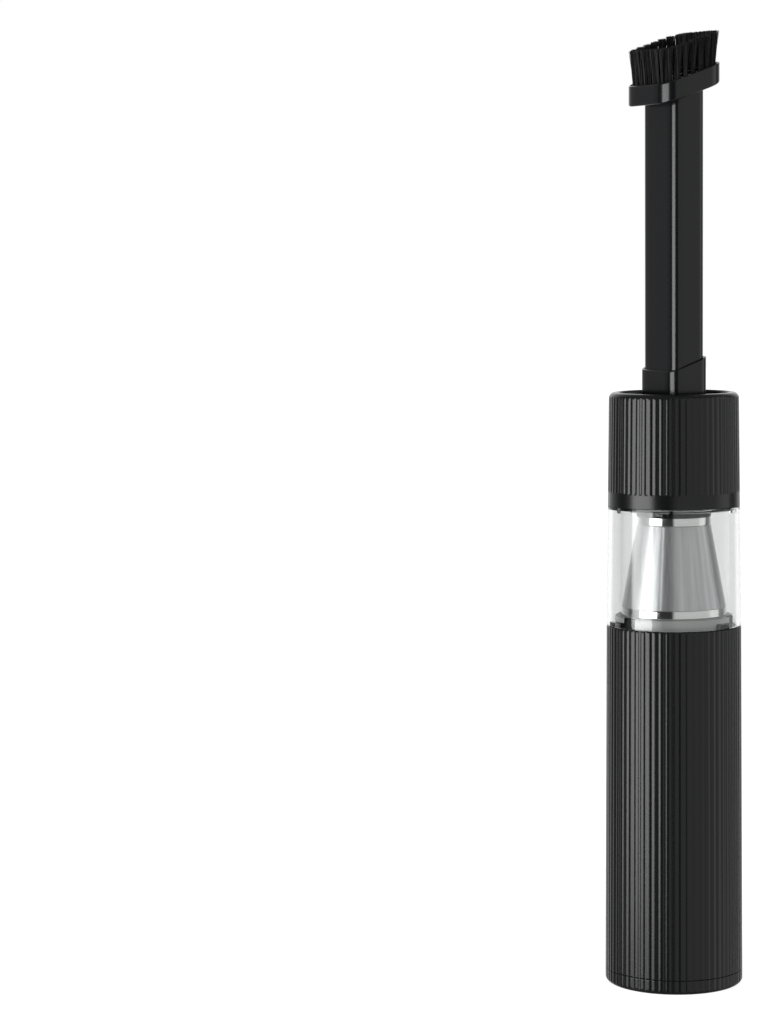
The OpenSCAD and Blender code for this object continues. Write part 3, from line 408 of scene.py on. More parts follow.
def make_finishes():
    """All finishes by name, each with what it gives the eye. The grain of eroded moulds, turned
    rings and plating is under 0.1 mm on the real ones, and drawn at 0.3 mm or more to show."""
    return {
        # Fine even mould grain that spreads the light along each reed, with rub wear and a painted sheen that
        # make the crests paler
        "casing": finish("spark_eroded_charcoal_abs", "#111213", "#141516", (0.2, 0.26), 0.35, 0.006,
                         wear_and_sheen=0.25, IOR=1.41),
        # Dull and deep black, so that wells and seats go dark
        "inner": finish("matt_black_abs", "#0f1011", "#131415", (0.45, 0.55), 0.5, 0.008, IOR=1.41),
        # Long clean streaks of light down the rounded edges, on flat sides that stay dark
        "nozzle": finish("satin_black_polypropylene", "#111214", "#141517", (0.16, 0.21), 0.4, 0.006,
                         IOR=1.44),
        # A shade paler and duller than the casing, so that the button stands out
        "button": finish("satin_grey_abs", "#26272a", "#2c2d30", (0.32, 0.4), 0.35, 0.005),
        # Near mirror with faint turned rings: white, black and grey bands of the room
        "steel": finish("turned_polished_stainless", "#f0f0ee", "#f6f6f4", (0.06, 0.13), 0.3, 0.0012,
                        (60, 60, 1), Metallic=1.0),
        # Even pale sheen of a sprayed coat over plastic, with no mirror in it
        "silver": finish("satin_silver_coating", "#dededd", "#e8e8e7", (0.45, 0.55), 0.4, 0.003, (60, 60, 1),
                         Metallic=0.3),
        # Small clear reflections on a polished moulding
        "cap": finish("gloss_black_abs", "#121315", "#17181a", (0.12, 0.2), 0.6, 0.003, IOR=1.41),
        # Bright silky cloth with a fine weave and painted shade in its gaps, broken by long painted streaks
        # of sheen
        "mesh": woven_wire(),
        # Clear wall that hardly shows but for bright lines down its sides and at its rims
        "cup": clear_polycarbonate(),
        # Nearly black drawn strands with a dull sheen along each of them
        "bristle": finish("black_nylon_filament", "#0c0c0d", "#161618", (0.55, 0.7), 0.8, 0.0),
        # Soft dull black of moulded seals, which hardly shines
        "rubber": finish("matt_black_silicone", "#161616", "#1d1d1d", (0.6, 0.75), 0.6, 0.01),
        # Cut foam behind the exhaust slots: pale cell walls, with painted shade that darkens the pits
        "foam": finish("open_cell_foam", "#1b1b1c", "#3a3a3c", (0.85, 0.98), 0.9, 0.2),
        # Grey plated metal with a mild cloudy shine
        "motor": finish("zinc_plated_steel", "#8d8f92", "#a3a5a7", (0.25, 0.38), 0.8, 0.004, Metallic=1.0),
        # Thin layers of punched sheet, dull and grey
        "stator": finish("stacked_stator_steel", "#6c6d70", "#8b8c8f", (0.35, 0.5), 0.35, 0.03, (40, 40, 1),
                         Metallic=1.0),
        # Smooth warm grey of plated magnets
        "magnet": finish("nickel_plated_magnet", "#9b9a96", "#aeada8", (0.2, 0.3), 1.5, 0.003, Metallic=1.0),
        # Small bright points on screw heads and on the socket's shell
        "screw": finish("nickel_plated_screw", "#a5a6a7", "#bcbdbe", (0.18, 0.3), 0.5, 0.003, Metallic=1.0),
        # Light grey metal with fine rings from the cutter
        "impeller": finish("milled_aluminium", "#bcbdbf", "#d0d1d2", (0.22, 0.34), 0.3, 0.004, (30, 30, 1),
                           Metallic=1.0),
        # Reddish turns of wire under a shiny varnish
        "winding": finish("enamelled_copper_wire", "#8a3f18", "#c06a34", (0.2, 0.35), 0.35, 0.1, (30, 30, 1),
                          Metallic=0.7),
        # Soft green gloss with slight mottling over the laminate
        "board": finish("green_solder_mask", "#0c3a20", "#14502e", (0.25, 0.4), 1.6, 0.01),
        # Flat dark grey of moulded packages
        "chip": finish("black_epoxy_package", "#16171a", "#1f2023", (0.5, 0.65), 0.4, 0.006),
        # Smooth blue film with slow waves where it shrank
        "wrap": finish("blue_shrink_film", "#1b4f80", "#21608f", (0.22, 0.32), 9.0, 0.03),
        # Warm grey of rolled strip
        "tab": finish("nickel_strip", "#a9a69c", "#bdbab0", (0.25, 0.4), 0.5, 0.004, Metallic=1.0),
        # Plain dark red with a slight gloss
        "lead": finish("red_pvc_insulation", "#7e1712", "#96211a", (0.35, 0.45), 1.0, 0.01),
        # Milky and pale, lit from what is round it
        "light": finish("frosted_acrylic", "#c9d2d6", "#dde4e7", (0.4, 0.5), 0.5, 0.005,
                        Transmission_Weight=0.6, IOR=1.49),
        # Off-white and dull, with soft fibres
        "paper": finish("pleated_glass_fibre_paper", "#c9c8c1", "#deddd6", (0.8, 0.95), 0.5, 0.05),
    }


# Shapes

def grid_faces(rows, columns, wrap_rows=False, wrap_columns=True):
    """Quads of a grid whose points are numbered row by row. With rows that climb a wall and columns
    that run counter-clockwise they face outwards."""
    i = np.arange(rows if wrap_rows else rows - 1)[:, None]
    j = np.arange(columns if wrap_columns else columns - 1)[None, :]
    up, on = (i + 1) % rows, (j + 1) % columns
    quads = [i * columns + j, i * columns + on, up * columns + on, up * columns + j]
    return np.stack(quads, -1).reshape(-1, 4)


def closed_faces(rows, n):
    """Walls between rings of n points, and one face each to close the first and last ring."""
    count = rows * n
    return grid_faces(rows, n).tolist() + [list(range(n))[::-1], list(range(count - n, count))]


def soften(corners):
    """Profile with rounded corners. Each corner is (a, b, radius): its point is replaced by points of
    the arc of that radius that touches both of its sides. A long side gets one more point just past
    the arc, so that the rest of it is shaded as straight."""
    points = np.array([c[:2] for c in corners], float)
    out = []
    for k, (_, _, radius) in enumerate(corners):
        here, last, after = points[k], points[k - 1], points[(k + 1) % len(points)]
        if not radius:
            out.append(here[None])
            continue
        u = (last - here) / np.linalg.norm(last - here)
        v = (after - here) / np.linalg.norm(after - here)
        half = math.acos(max(-1, min(1, float(u @ v)))) / 2
        touch = radius / math.tan(half)
        centre = here + (u + v) / np.linalg.norm(u + v) * radius / math.sin(half)
        first, final = (here + w * touch - centre for w in (u, v))
        start = math.atan2(first[1], first[0])
        swing = (math.atan2(final[1], final[0]) - start + math.pi) % TAU - math.pi
        steps = next(count for most, count in ARC_POINTS if radius < most)
        angle = start + swing * np.linspace(0, 1, steps)
        arc = centre + radius * np.stack([np.cos(angle), np.sin(angle)], -1)
        stays = [
            here[None] + w * (touch + STAY) if np.linalg.norm(end - here) > touch + LONG_SIDE else arc[:0]
            for w, end in ((u, last), (v, after))
        ]
        out += [stays[0], arc, stays[1]]
    return np.concatenate(out)


def turned(profile, columns, loss=None):
    """Body of revolution: (r cos a, r sin a, z) for each point (r, z) of the profile and each angle
    a. A loss, a function of a, r and z, is taken off the radius. A profile that starts or ends on
    the axis is closed there by one point, and any other closes on itself."""
    profile = np.asarray(profile, float)
    capped = profile[0, 0] == 0
    body = profile[1:-1] if capped else profile
    angle = np.arange(columns) * TAU / columns
    r, z = (np.repeat(body[:, k, None], columns, 1) for k in (0, 1))
    r = r - (loss(angle[None, :], r, z) if loss else 0)
    points = np.stack([r * np.cos(angle), r * np.sin(angle), z], -1).reshape(-1, 3)
    rows = len(body)
    faces = grid_faces(rows, columns, wrap_rows=not capped).tolist()
    if capped:
        ends = np.array([[0, 0, profile[0, 1]], [0, 0, profile[-1, 1]]])
        points = np.concatenate([points, ends])
        low, high = rows * columns, rows * columns + 1
        j = np.arange(columns)
        on = (j + 1) % columns
        top = (rows - 1) * columns
        faces += np.stack([on, j, np.full(columns, low)], -1).tolist()
        faces += np.stack([top + j, top + on, np.full(columns, high)], -1).tolist()
    return points, faces


def rod(r, low, high, columns, edge=0):
    """Round rod between two levels, with a rounded upper edge."""
    return turned(soften([(0, low, 0), (r, low, 0), (r, high, edge), (0, high, 0)]), columns)


def sector(r_in, r_out, low, high, start, spread, steps):
    """Block between two radii and two levels, that runs on from a bearing by a spread, both in
    degrees: its four edges follow arcs about the axis, and a face closes each end."""
    angle = np.radians(start + spread * np.linspace(0, 1, steps + 1))
    corner = np.array([(r_in, low), (r_out, low), (r_out, high), (r_in, high)])
    r, z = (np.repeat(corner[:, k, None], len(angle), 1) for k in (0, 1))
    points = np.stack([r * np.cos(angle), r * np.sin(angle), z], -1).reshape(-1, 3)
    n = len(angle)
    faces = grid_faces(4, n, wrap_rows=True, wrap_columns=False).tolist()
    faces += [[0, n, 2 * n, 3 * n], [4 * n - 1, 3 * n - 1, 2 * n - 1, n - 1]]
    return points, faces


def outline(x, y, corner, arc=12, side=6):
    """Rounded rectangle, counter-clockwise from the middle of +X's side: four quarter circles, with
    equal steps along the straight sides between them."""
    x, y, corner = (np.asarray(v, float)[..., None] for v in (x, y, corner))
    parts = []
    for k, (sx, sy) in enumerate(((1, 1), (-1, 1), (-1, -1), (1, -1))):
        angle = math.pi / 2 * (k + np.linspace(0, 1, arc + 1))
        px = sx * (x / 2 - corner) + corner * np.cos(angle)
        py = sy * (y / 2 - corner) + corner * np.sin(angle)
        parts.append(np.stack([px, py], -1))
    out = []
    for k, part in enumerate(parts):
        after = parts[(k + 1) % 4][..., :1, :]
        share = (np.arange(1, side) / side)[:, None]
        out += [part, part[..., -1:, :] + (after - part[..., -1:, :]) * share]
    return np.concatenate(out, -2)


def block(x, y, corner, low, high):
    """Upright block with a rounded rectangle as its cross-section."""
    flat = outline(x, y, corner)
    n = len(flat)
    points = np.concatenate([np.column_stack([flat, np.full(n, level)]) for level in (low, high)])
    return points, closed_faces(2, n)


def slot_block(x, y, low, high):
    """Upright block whose cross-section is a slot with half-round ends."""
    return block(x, y, min(x, y) / 2 - SLOT_SIDE, low, high)


def wrapped(profile, stations, slope_from):
    """Closed profile of (inset, z) carried round a rounded rectangle. The stations give the
    rectangle's width, depth and corner at some insets. From a level up, the height also rises with y
    along the sloped cut."""
    profile, stations = np.asarray(profile, float), np.asarray(stations, float)
    size = [np.interp(profile[:, 0], stations[:, 0], stations[:, k]) for k in (1, 2, 3)]
    flat = outline(*size)
    z = np.repeat(profile[:, 1, None], flat.shape[1], 1)
    z = z + np.where(z >= slope_from, flat[..., 1] * SLOPE, 0)
    points = np.concatenate([flat, z[..., None]], -1)
    return points.reshape(-1, 3), grid_faces(len(profile), flat.shape[1], wrap_rows=True).tolist()


def offset_stations(x, y, corner, most):
    """Stations of a rectangle that is inset evenly."""
    return [(0, x, y, corner), (most, x - 2 * most, y - 2 * most, corner - most)]


def outward(shell, z):
    """The same shell with its axis laid along +Y at a level: its z becomes y."""
    points, faces = shell
    return np.stack([-points[:, 0], points[:, 2], z + points[:, 1]], -1), faces


def axes_at(turn):
    """Unit vectors outwards, round and up at a bearing in degrees."""
    a = math.radians(turn)
    return np.array([[math.cos(a), math.sin(a), 0], [-math.sin(a), math.cos(a), 0], [0, 0, 1]])


def together(*shells):
    """Several shells as one set of points and faces."""
    points, faces, count = [], [], 0
    for p, f in shells:
        points.append(p)
        faces += [[i + count for i in face] for face in f]
        count += len(p)
    return np.concatenate(points), faces


def smooth(piece, sharp):
    """Smooth shading but for edges over an angle in degrees."""
    mesh = piece.data
    mesh.polygons.foreach_set("use_smooth", np.ones(len(mesh.polygons), bool))
    mesh.set_sharp_from_angle(angle=math.radians(sharp))
    mesh.update()


def make(name, shell, finish_name="casing", sharp=CREASE):
    """Mesh object from points in mm and faces."""
    points, faces = shell
    mesh = bpy.data.meshes.new(name)
    mesh.from_pydata((points * MM).tolist(), [], faces)
    mesh.materials.append(FINISHES[finish_name])
    piece = bpy.data.objects.new(name, mesh)
    bpy.context.scene.collection.objects.link(piece)
    smooth(piece, sharp)
    return piece


def combine(piece, operation, *shells):
    """Adds shells to a piece or cuts them away, and keeps the result as the piece's mesh."""
    tool = make(piece.name + "_tool", together(*shells))
    change = piece.modifiers.new("change", "BOOLEAN")
    change.operation = operation
    change.solver = "MANIFOLD"
    change.object = tool
    bpy.context.view_layer.update()
    done = bpy.data.meshes.new_from_object(piece.evaluated_get(bpy.context.evaluated_depsgraph_get()))
    piece.modifiers.clear()
    before, piece.data = piece.data, done
    bpy.data.meshes.remove(before)
    done.name = piece.name
    bpy.data.objects.remove(tool)
    smooth(piece, CREASE)


def place(piece, body, slot, *nodes):
    """Lets a piece ride on a body and stand for nodes. Its slot is not used."""
    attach(piece, body)
    if nodes:
        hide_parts(*nodes)


def groove_loss(foot, top, low, high):
    """Radius lost in the grooves between reeds. Across a groove the cut is a raised cosine about
    its middle, measured from the straight line of the crests, so it runs out where the surface
    leaves that line. Past its lowest and highest level it closes like the cut of a ball-nosed tool.
    A root keeps its edges soft."""
    (foot_r, foot_z), (top_r, top_z) = foot, top

    def loss(angle, r, z):
        crest = foot_r + (top_r - foot_r) * (z - foot_z) / (top_z - foot_z)
        across = ((angle * REEDS / TAU + 0.5) % 1 - 0.5) * TAU * crest / REEDS
        past = np.maximum(0, np.maximum(low - z, z - high))
        away = np.sqrt((across / GROOVE_HALF) ** 2 + (past / GROOVE_BALL) ** 2)
        cut = GROOVE_DEPTH * (1 + np.cos(math.pi * np.minimum(1, away))) / 2 - np.abs(crest - r)
        return (cut + np.sqrt(cut ** 2 + CREST_EDGE ** 2)) / 2

    return loss


# Handle

# Gap at the seam, height of the cap's spigot, and its outer and inner radius
SEAM_GAP = 0.1
SPIGOT_HEIGHT = 6.3
SPIGOT_R = 26.8
CAP_BORE_R = 25
# Rounding of the foot, level at which the grooves close over it, and level of the floor in the cap
FOOT_EDGE = 2.1
GROOVE_FOOT = 1.4
CAP_FLOOR = 2.2
# Radii of the rims round button and light, where they start, and the radii of their bores
BUTTON_RIM_R = 7.75
BUTTON_RIM_FOOT = 25.5
BUTTON_BORE_R = 6.05
LIGHT_RIM_R = 2.25
LIGHT_RIM_FOOT = 26
LIGHT_BORE_R = 1.45
# How much less than the button's the rim of the light stands out
LIGHT_BACK = 0.4
# Radii of button, flange and the recess that clears the switch, thickness of the flange and depth of
# the recess
BUTTON_R = 5.9
FLANGE_R = 6.9
RECESS_R = 3
FLANGE = 0.35
RECESS = 0.45
# Radius of the light pipe
PIPE_R = 1.4
# How far from the axis the cutters start and end
CUT_FROM = 20
CUT_TO = 40
# Width and height of the socket's opening, of the recess round it and of an exhaust slot
SOCKET = (9.2, 3.5)
SOCKET_RECESS = (11.5, 6)
EXHAUST_SLOT = (1.3, 8)
# Bearing of the middle column of slots, the number of columns, and the levels of the rows
EXHAUST_TURN = 90
EXHAUST_COLUMNS = 11
EXHAUST_LEVELS = (51, 62, 73)
# Radius and depth of the screws' recesses under the foot, and the radius that they stand on
SCREW_RECESS_R = 2.65
SCREW_DEPTH = 2.12
SCREW_RING_R = 20


def handle_pieces():
    """Base cap, reeded casing, push button and status light."""
    seam, top = span("body_casing")
    button_foot, button_face = span("power_button", "y")
    button_z = sum(span("power_button")) / 2
    light_z = sum(span("status_light")) / 2
    socket_z = sum(span("charge_port")) / 2

    grooves = groove_loss((HANDLE_R, seam), (HANDLE_TOP_R, top), seam - 1, top + 1)
    foot = seam + SEAM_GAP
    wall = soften([(HANDLE_R, foot, 0.3), (HANDLE_TOP_R, top, 0.8), (BORE_R, top, 0.3), (BORE_R, foot, 0.3)])
    casing = make("reeded_handle_casing", turned(wall, REEDED_POINTS, grooves))
    button_rim = rod(BUTTON_RIM_R, BUTTON_RIM_FOOT, button_face, BUTTON_POINTS, 0.4)
    light_rim = rod(LIGHT_RIM_R, LIGHT_RIM_FOOT, button_face - LIGHT_BACK, HOLE_POINTS, 0.3)
    combine(casing, "UNION", outward(button_rim, button_z))
    combine(casing, "UNION", outward(light_rim, light_z))
    button_bore = rod(BUTTON_BORE_R, CUT_FROM, CUT_TO, BUTTON_POINTS)
    light_bore = rod(LIGHT_BORE_R, CUT_FROM, CUT_TO, PIPE_POINTS)
    opening = slot_block(*SOCKET, CUT_FROM, CUT_TO)
    combine(casing, "DIFFERENCE", outward(button_bore, button_z), outward(light_bore, light_z),
            outward(opening, socket_z))
    recess = slot_block(*SOCKET_RECESS, span("charge_port", "y")[1], CUT_TO)
    combine(casing, "DIFFERENCE", outward(recess, socket_z))
    turns = EXHAUST_TURN + (np.arange(EXHAUST_COLUMNS) - EXHAUST_COLUMNS // 2) * 360 / REEDS
    combine(casing, "DIFFERENCE", *(exhaust_slot(turn, z) for turn in turns for z in EXHAUST_LEVELS))
    place(casing, "handle", "casing", "body_casing")

    spigot = span("base_cap")[1]
    step = spigot - SPIGOT_HEIGHT
    skirt = soften([
        (0, 0, 0), (HANDLE_R, 0, FOOT_EDGE), (HANDLE_R, step, 0.2), (SPIGOT_R, step, 0.1),
        (SPIGOT_R, spigot, 0.4), (CAP_BORE_R, spigot, 0.4), (CAP_BORE_R, CAP_FLOOR, 0), (0, CAP_FLOOR, 0)])
    ends = groove_loss((HANDLE_R, 0), (HANDLE_R, seam), GROOVE_FOOT, seam + 1)
    cap = make("reeded_base_cap", turned(skirt, REEDED_POINTS, ends))
    points, faces = rod(SCREW_RECESS_R, -1, SCREW_DEPTH, HOLE_POINTS)
    combine(cap, "DIFFERENCE", *((points + SCREW_RING_R * axes_at(turn)[0], faces) for turn in LUG_TURNS))
    place(cap, "handle", "casing", "base_cap")

    low, high = button_foot, button_face
    dish = soften([
        (0, low + RECESS, 0), (RECESS_R, low + RECESS, 0), (RECESS_R, low, 0.1), (FLANGE_R, low, 0.1),
        (FLANGE_R, low + FLANGE, 0.1), (BUTTON_R, low + FLANGE, 0), (BUTTON_R, high, 0.45),
        (BUTTON_R - 1, high, 0.3), (2.2, high - 0.35, 1.6), (0, high - 0.42, 0)])
    button = make("push_button", outward(turned(dish, BUTTON_POINTS), button_z), "button")
    place(button, "button", "button", "power_button")

    low, high = span("status_light", "y")
    pipe = soften([(0, low, 0), (PIPE_R, low, 0), (PIPE_R, high, 0.6), (0, high + 0.1, 0)])
    light = make("status_light_pipe", outward(turned(pipe, PIPE_POINTS), light_z), "light")
    place(light, "handle", "light_pipe", "status_light")


def exhaust_slot(turn, z):
    """Cutter for one exhaust slot: a block with half-round ends, laid out along a bearing."""
    points, faces = slot_block(*EXHAUST_SLOT, CUT_FROM + 2, CUT_TO)
    away, along, up = axes_at(turn)
    return points[:, 2:3] * away + points[:, :1] * along + (z + points[:, 1:2]) * up, faces


# Cup and filter

# Radii of the bayonet ring, its bore and its inner lip, and the lip's thickness
BAYONET_R = 25.5
BAYONET_BORE_R = 24.3
LIP_R = 21.65
LIP = 0.8
# Bearing at which its first slot starts, the height and spread of a slot, and how far on from there
# the entry from above starts, and its spread, all turns in degrees
SLOT_START = -107
SLOT_HEIGHT = 2.2
SLOT_SPREAD = 36
ENTRY_START = 20.5
ENTRY_SPREAD = 15
# Radii of the cup's bore at its foot and under the shoulder, of its spigot, and of the bore in that
CUP_BORE_R = 27.2
CUP_TOP_BORE_R = 26.66
CUP_SPIGOT_R = 26.5
CUP_SPIGOT_BORE_R = 24.9
# Lowest and highest level of the collar's upper keys over its seat, and the play of their ways
UPPER_KEY = (5.9, 7.9)
KEY_PLAY = 0.15
# Radii of the filter's lower ring, of the rebate in it for the cone, of the skirt under it, of the bore
# and of the groove for the gasket
LOWER_RING_R = 22.8
REBATE_R = 20.9
SKIRT_R = 21.3
SKIRT_BORE_R = 19.8
GASKET_R = 20.4
# Depth of the rebate, and how far under the ring the groove's edges lie
REBATE = 1.6
GASKET_EDGES = (3.25, 1.75)
# Radii of the cone's wire cloth at its foot and top, and its thickness
CONE_R = 22.6
CONE_TOP_R = 16.0
CLOTH = 0.4
# Radii of the upper ring and the lid, of the ring's bore and of the lid's dish, and the dish's depth
UPPER_RING_R = 16.2
UPPER_BORE_R = 14.9
DISH_R = 13.6
DISH = 0.25
# The seam up the cone: its bearing, half width and lift, and the pitch and lift of its weld spots
SEAM_TURN = -43
SEAM_HALF = 1.5
SEAM_LIFT = 0.28
WELD_PITCH = 1.5
WELD_LIFT = 0.26
# Radius and rise of each ring of a weld spot's dome, and the points round it
WELD_R = (0.42, 0.26, 0.1)
WELD_RISE = (0, 0.02, 0.03)
WELD_POINTS = 8


def bayonet_piece():
    """Ring with three slots that open upwards through three entries."""
    low, high = span("bayonet_ring")
    ring = soften([
        (BAYONET_BORE_R, low, 0), (BAYONET_R, low, 0.15), (BAYONET_R, high, 0.45), (LIP_R, high, 0.25),
        (LIP_R, high - LIP, 0), (BAYONET_BORE_R, high - LIP, 0)])
    bayonet = make("bayonet_ring_turned", turned(ring, RING_POINTS), "silver")
    slots, entries = [], []
    for start in (SLOT_START, SLOT_START + 120, SLOT_START + 240):
        slots.append(sector(23.5, 27, low - 1, low + SLOT_HEIGHT, start - 1, SLOT_SPREAD, 24))
        entries.append(sector(23.4, 27.2, low - 1.2, high + 1, start + ENTRY_START, ENTRY_SPREAD, 12))
    combine(bayonet, "DIFFERENCE", *slots)
    combine(bayonet, "DIFFERENCE", *entries)
    place(bayonet, "handle", "polished_steel", "bayonet_ring")


def cup_piece():
    """Clear cup with its spigot, the shallow and deep ways for the collar's keys, and its lugs."""
    low, rim = span("dust_cup")
    seat = span("collar")[0] + KEY_HEIGHT
    shoulder = seat - SHOULDER
    shell = soften([
        (CUP_BORE_R, low, 0.3), (CUP_R, low, 0.5), (COLLAR_R, seat, 0.4), (CUP_SPIGOT_R, seat, 0.15),
        (CUP_SPIGOT_R, rim, 0.4), (CUP_SPIGOT_BORE_R, rim, 0.4), (CUP_SPIGOT_BORE_R, shoulder, 0.25),
        (CUP_TOP_BORE_R, shoulder, 0.4)])
    cup = make("clear_dust_cup", turned(shell, RING_POINTS), "cup")
    key_low, key_high = (seat + level for level in UPPER_KEY)
    ways, entries, lugs = [], [], []
    for turn in LUG_TURNS:
        ways.append(sector(26.6, 27.1, seat - KEY_HEIGHT - 0.1, seat + 0.35, turn - 2.6, 19.2, 12))
        ways.append(sector(25.7, 27.5, key_low - KEY_PLAY, key_high + KEY_PLAY, turn - 5, 24, 14))
        entries.append(sector(25.6, 27.7, key_low, seat + 20, turn + 9.3, 10, 8))
        lugs.append(sector(24.4, 27.5, low + 0.3, low + 1.9, turn - 17, 12, 8))
    combine(cup, "DIFFERENCE", *ways)
    combine(cup, "DIFFERENCE", *entries)
    combine(cup, "UNION", *lugs)
    place(cup, "cup", "clear_cup", "dust_cup")


def filter_pieces():
    """Lower ring with its skirt and groove, wire cone with its seam, upper ring and lid."""
    low, high = span("filter_base")
    edge = high - RING_HEIGHT
    groove_low, groove_high = (edge - level for level in GASKET_EDGES)
    base = soften([
        (SKIRT_BORE_R, low, 0), (SKIRT_R, low, 0.3), (SKIRT_R, groove_low, 0), (GASKET_R, groove_low, 0),
        (GASKET_R, groove_high, 0), (SKIRT_R, groove_high, 0), (SKIRT_R, edge, 0), (LOWER_RING_R, edge, 0.3),
        (LOWER_RING_R, high, 0.4), (REBATE_R, high, 0.1), (REBATE_R, high - REBATE, 0),
        (SKIRT_BORE_R, high - REBATE, 0)])
    lower = make("filter_base_ring", turned(base, RING_POINTS), "steel")
    place(lower, "filter", "polished_steel", "filter_base")

    low, high = span("filter_mesh")
    cloth = [(CONE_R, low), (CONE_TOP_R, high), (CONE_TOP_R - CLOTH, high), (CONE_R - CLOTH, low)]
    cone = make("filter_wire_cone", turned(cloth, RING_POINTS), "mesh")
    map_round(cone)
    place(cone, "filter", "mesh_steel", "filter_mesh")
    seam = make("filter_cone_seam", seam_strip(low, high), "mesh")
    map_round(seam)
    place(seam, "filter", "mesh_steel")

    low, high = span("filter_top_ring")
    top = soften([
        (UPPER_BORE_R, low, 0.2), (UPPER_RING_R, low, 0.4), (UPPER_RING_R, high, 0.2),
        (UPPER_BORE_R, high, 0.2)])
    upper = make("filter_upper_ring", turned(top, RING_POINTS), "steel")
    place(upper, "filter", "polished_steel", "filter_top_ring")

    low, high = span("filter_cap")
    plug_r = UPPER_BORE_R - 0.05
    lid = soften([
        (0, low, 0), (plug_r, low, 0.3), (plug_r, low + 3, 0), (UPPER_RING_R, low + 3, 0.15),
        (UPPER_RING_R, high, 0.6), (DISH_R, high, 0), (DISH_R - 0.4, high - DISH, 0), (0, high - DISH, 0)])
    place(make("filter_lid", turned(lid, PLATE_POINTS), "cap"), "filter", "inner_black", "filter_cap")


def map_round(piece):
    """Map of a cone in mm: across is the angle times its mean radius, up is the height."""
    mesh = piece.data
    layer = mesh.uv_layers.new(name="round_and_up")
    at = np.zeros(len(mesh.loops), np.int32)
    mesh.loops.foreach_get("vertex_index", at)
    points = np.zeros(len(mesh.vertices) * 3, np.float32)
    mesh.vertices.foreach_get("co", points)
    points = points.reshape(-1, 3)[at] / MM
    angle = np.arctan2(points[:, 1], points[:, 0])
    first = np.zeros(len(mesh.polygons), np.int32)
    mesh.polygons.foreach_get("loop_start", first)
    face_of = np.repeat(np.arange(len(first)), np.diff(np.append(first, len(at))))
    angle = np.where((angle[first][face_of] - angle) > math.pi, angle + TAU, angle)
    angle = np.where((angle - angle[first][face_of]) > math.pi, angle - TAU, angle)
    uv = np.column_stack([angle * (CONE_R + CONE_TOP_R) / 2, points[:, 2]]).astype(np.float32)
    layer.data.foreach_set("uv", uv.ravel())


def seam_strip(low, high):
    """Overlap seam of the cone with its weld spots: a thin strip up the cone, and on it a row of
    shallow domes, each three rings about its own middle."""
    away, along, up = axes_at(SEAM_TURN)

    def at(across, rise, lift):
        """Point at a way across the seam and a level, lifted off the cloth."""
        r = CONE_R - (rise - low) / (high - low) * (CONE_R - CONE_TOP_R)
        reach_out = np.sqrt(r ** 2 - across ** 2) + lift
        return reach_out[..., None] * away + across[..., None] * along + rise[..., None] * up

    across, rise = np.meshgrid(np.linspace(-SEAM_HALF, SEAM_HALF, 9), np.array([low + 0.3, high - 0.3]))
    lift = SEAM_LIFT - 0.06 * np.abs(across / SEAM_HALF) ** 6
    ring = np.concatenate([at(across, rise, lift), at(across[:, ::-1], rise[:, ::-1], -0.05)], 1)
    strip = ring.reshape(-1, 3), closed_faces(*ring.shape[:2])

    faces = closed_faces(len(WELD_R), WELD_POINTS)
    angle = np.arange(WELD_POINTS) * TAU / WELD_POINTS
    aside, rise = (np.array(WELD_R)[:, None] * way for way in (np.cos(angle), np.sin(angle)))
    lift = WELD_LIFT + np.repeat(np.array(WELD_RISE)[:, None], WELD_POINTS, 1)
    levels = np.arange(low + 1.6, high - 1.2, WELD_PITCH)
    return together(strip, *((at(aside, level + rise, lift).reshape(-1, 3), faces) for level in levels))


# Collar, sleeve and nozzle

# Radius of the collar's mouth, the bevel at it, the depth of the ledge inside, and the collar's top edge
MOUTH_R = 24
MOUTH_BEVEL = 0.6
LEDGE = 2.5
COLLAR_EDGE = 2.6
# Steps down the band, in mm, over which the grooves run out
BAND_STEPS = (0.8, 0.66, 0.5, 0.34, 0.17, 0)
# Gap between the collar and the cup, and between the nozzle and the floor of its socket
SEAT_GAP = 0.05
# Radius and thickness of the inlet's plate, outer radius of its rim, and overlap of joined shapes
PLATE_R = 26.6
PLATE = 2.5
PLATE_RIM_R = 25.2
OVERLAP = 0.05
# Width, depth and corner of sleeve, duct and nozzle, and their walls: the sleeve's is thinner where the
# nozzle goes into it
SLEEVE = (30.2, 18.5, 5.35)
SLEEVE_WALL = 2.75
SOCKET_WALL = 1.2
DUCT = (24.7, 13.0, 2.6)
NOZZLE = (27.5, 15.8, 4)
NOZZLE_WALL = 1.4
# How far below a slanted cut its slope starts
SLOPE_DEPTH = 5


def collar_piece():
    """Reeded collar with its smooth band, and its keys."""
    low, top = span("collar")
    foot = low + KEY_HEIGHT
    band = foot + BAND_HEIGHT
    band_r = COLLAR_R - (COLLAR_R - COLLAR_TOP_R) * BAND_HEIGHT / (top - foot)
    rows = [(COLLAR_BORE_R, foot + SEAT_GAP, 0.2), (COLLAR_R, foot + SEAT_GAP, 0.25)]
    rows += [(band_r + (COLLAR_R - band_r) * t / BAND_HEIGHT, band - t, 0) for t in BAND_STEPS]
    rows += [(COLLAR_TOP_R, top, COLLAR_EDGE), (MOUTH_R + MOUTH_BEVEL, top, 0.2)]
    rows += [(MOUTH_R, top - MOUTH_BEVEL, 0.2), (MOUTH_R, top - LEDGE, 0), (COLLAR_BORE_R, top - LEDGE, 0)]
    grooves = groove_loss((band_r, band), (COLLAR_TOP_R, top), band, top + 1)
    collar = make("reeded_collar", turned(soften(rows), REEDED_POINTS, grooves))
    key_low, key_high = (foot + level for level in UPPER_KEY)
    keys = []
    for turn in LUG_TURNS:
        keys.append(sector(26.7, 27.03, low, foot + 0.25, turn - 2, 4, 4))
        keys.append(sector(25.85, 26.95, key_low, key_high, turn - 4, 8, 6))
    combine(collar, "UNION", *keys)
    place(collar, "head", "casing", "collar")


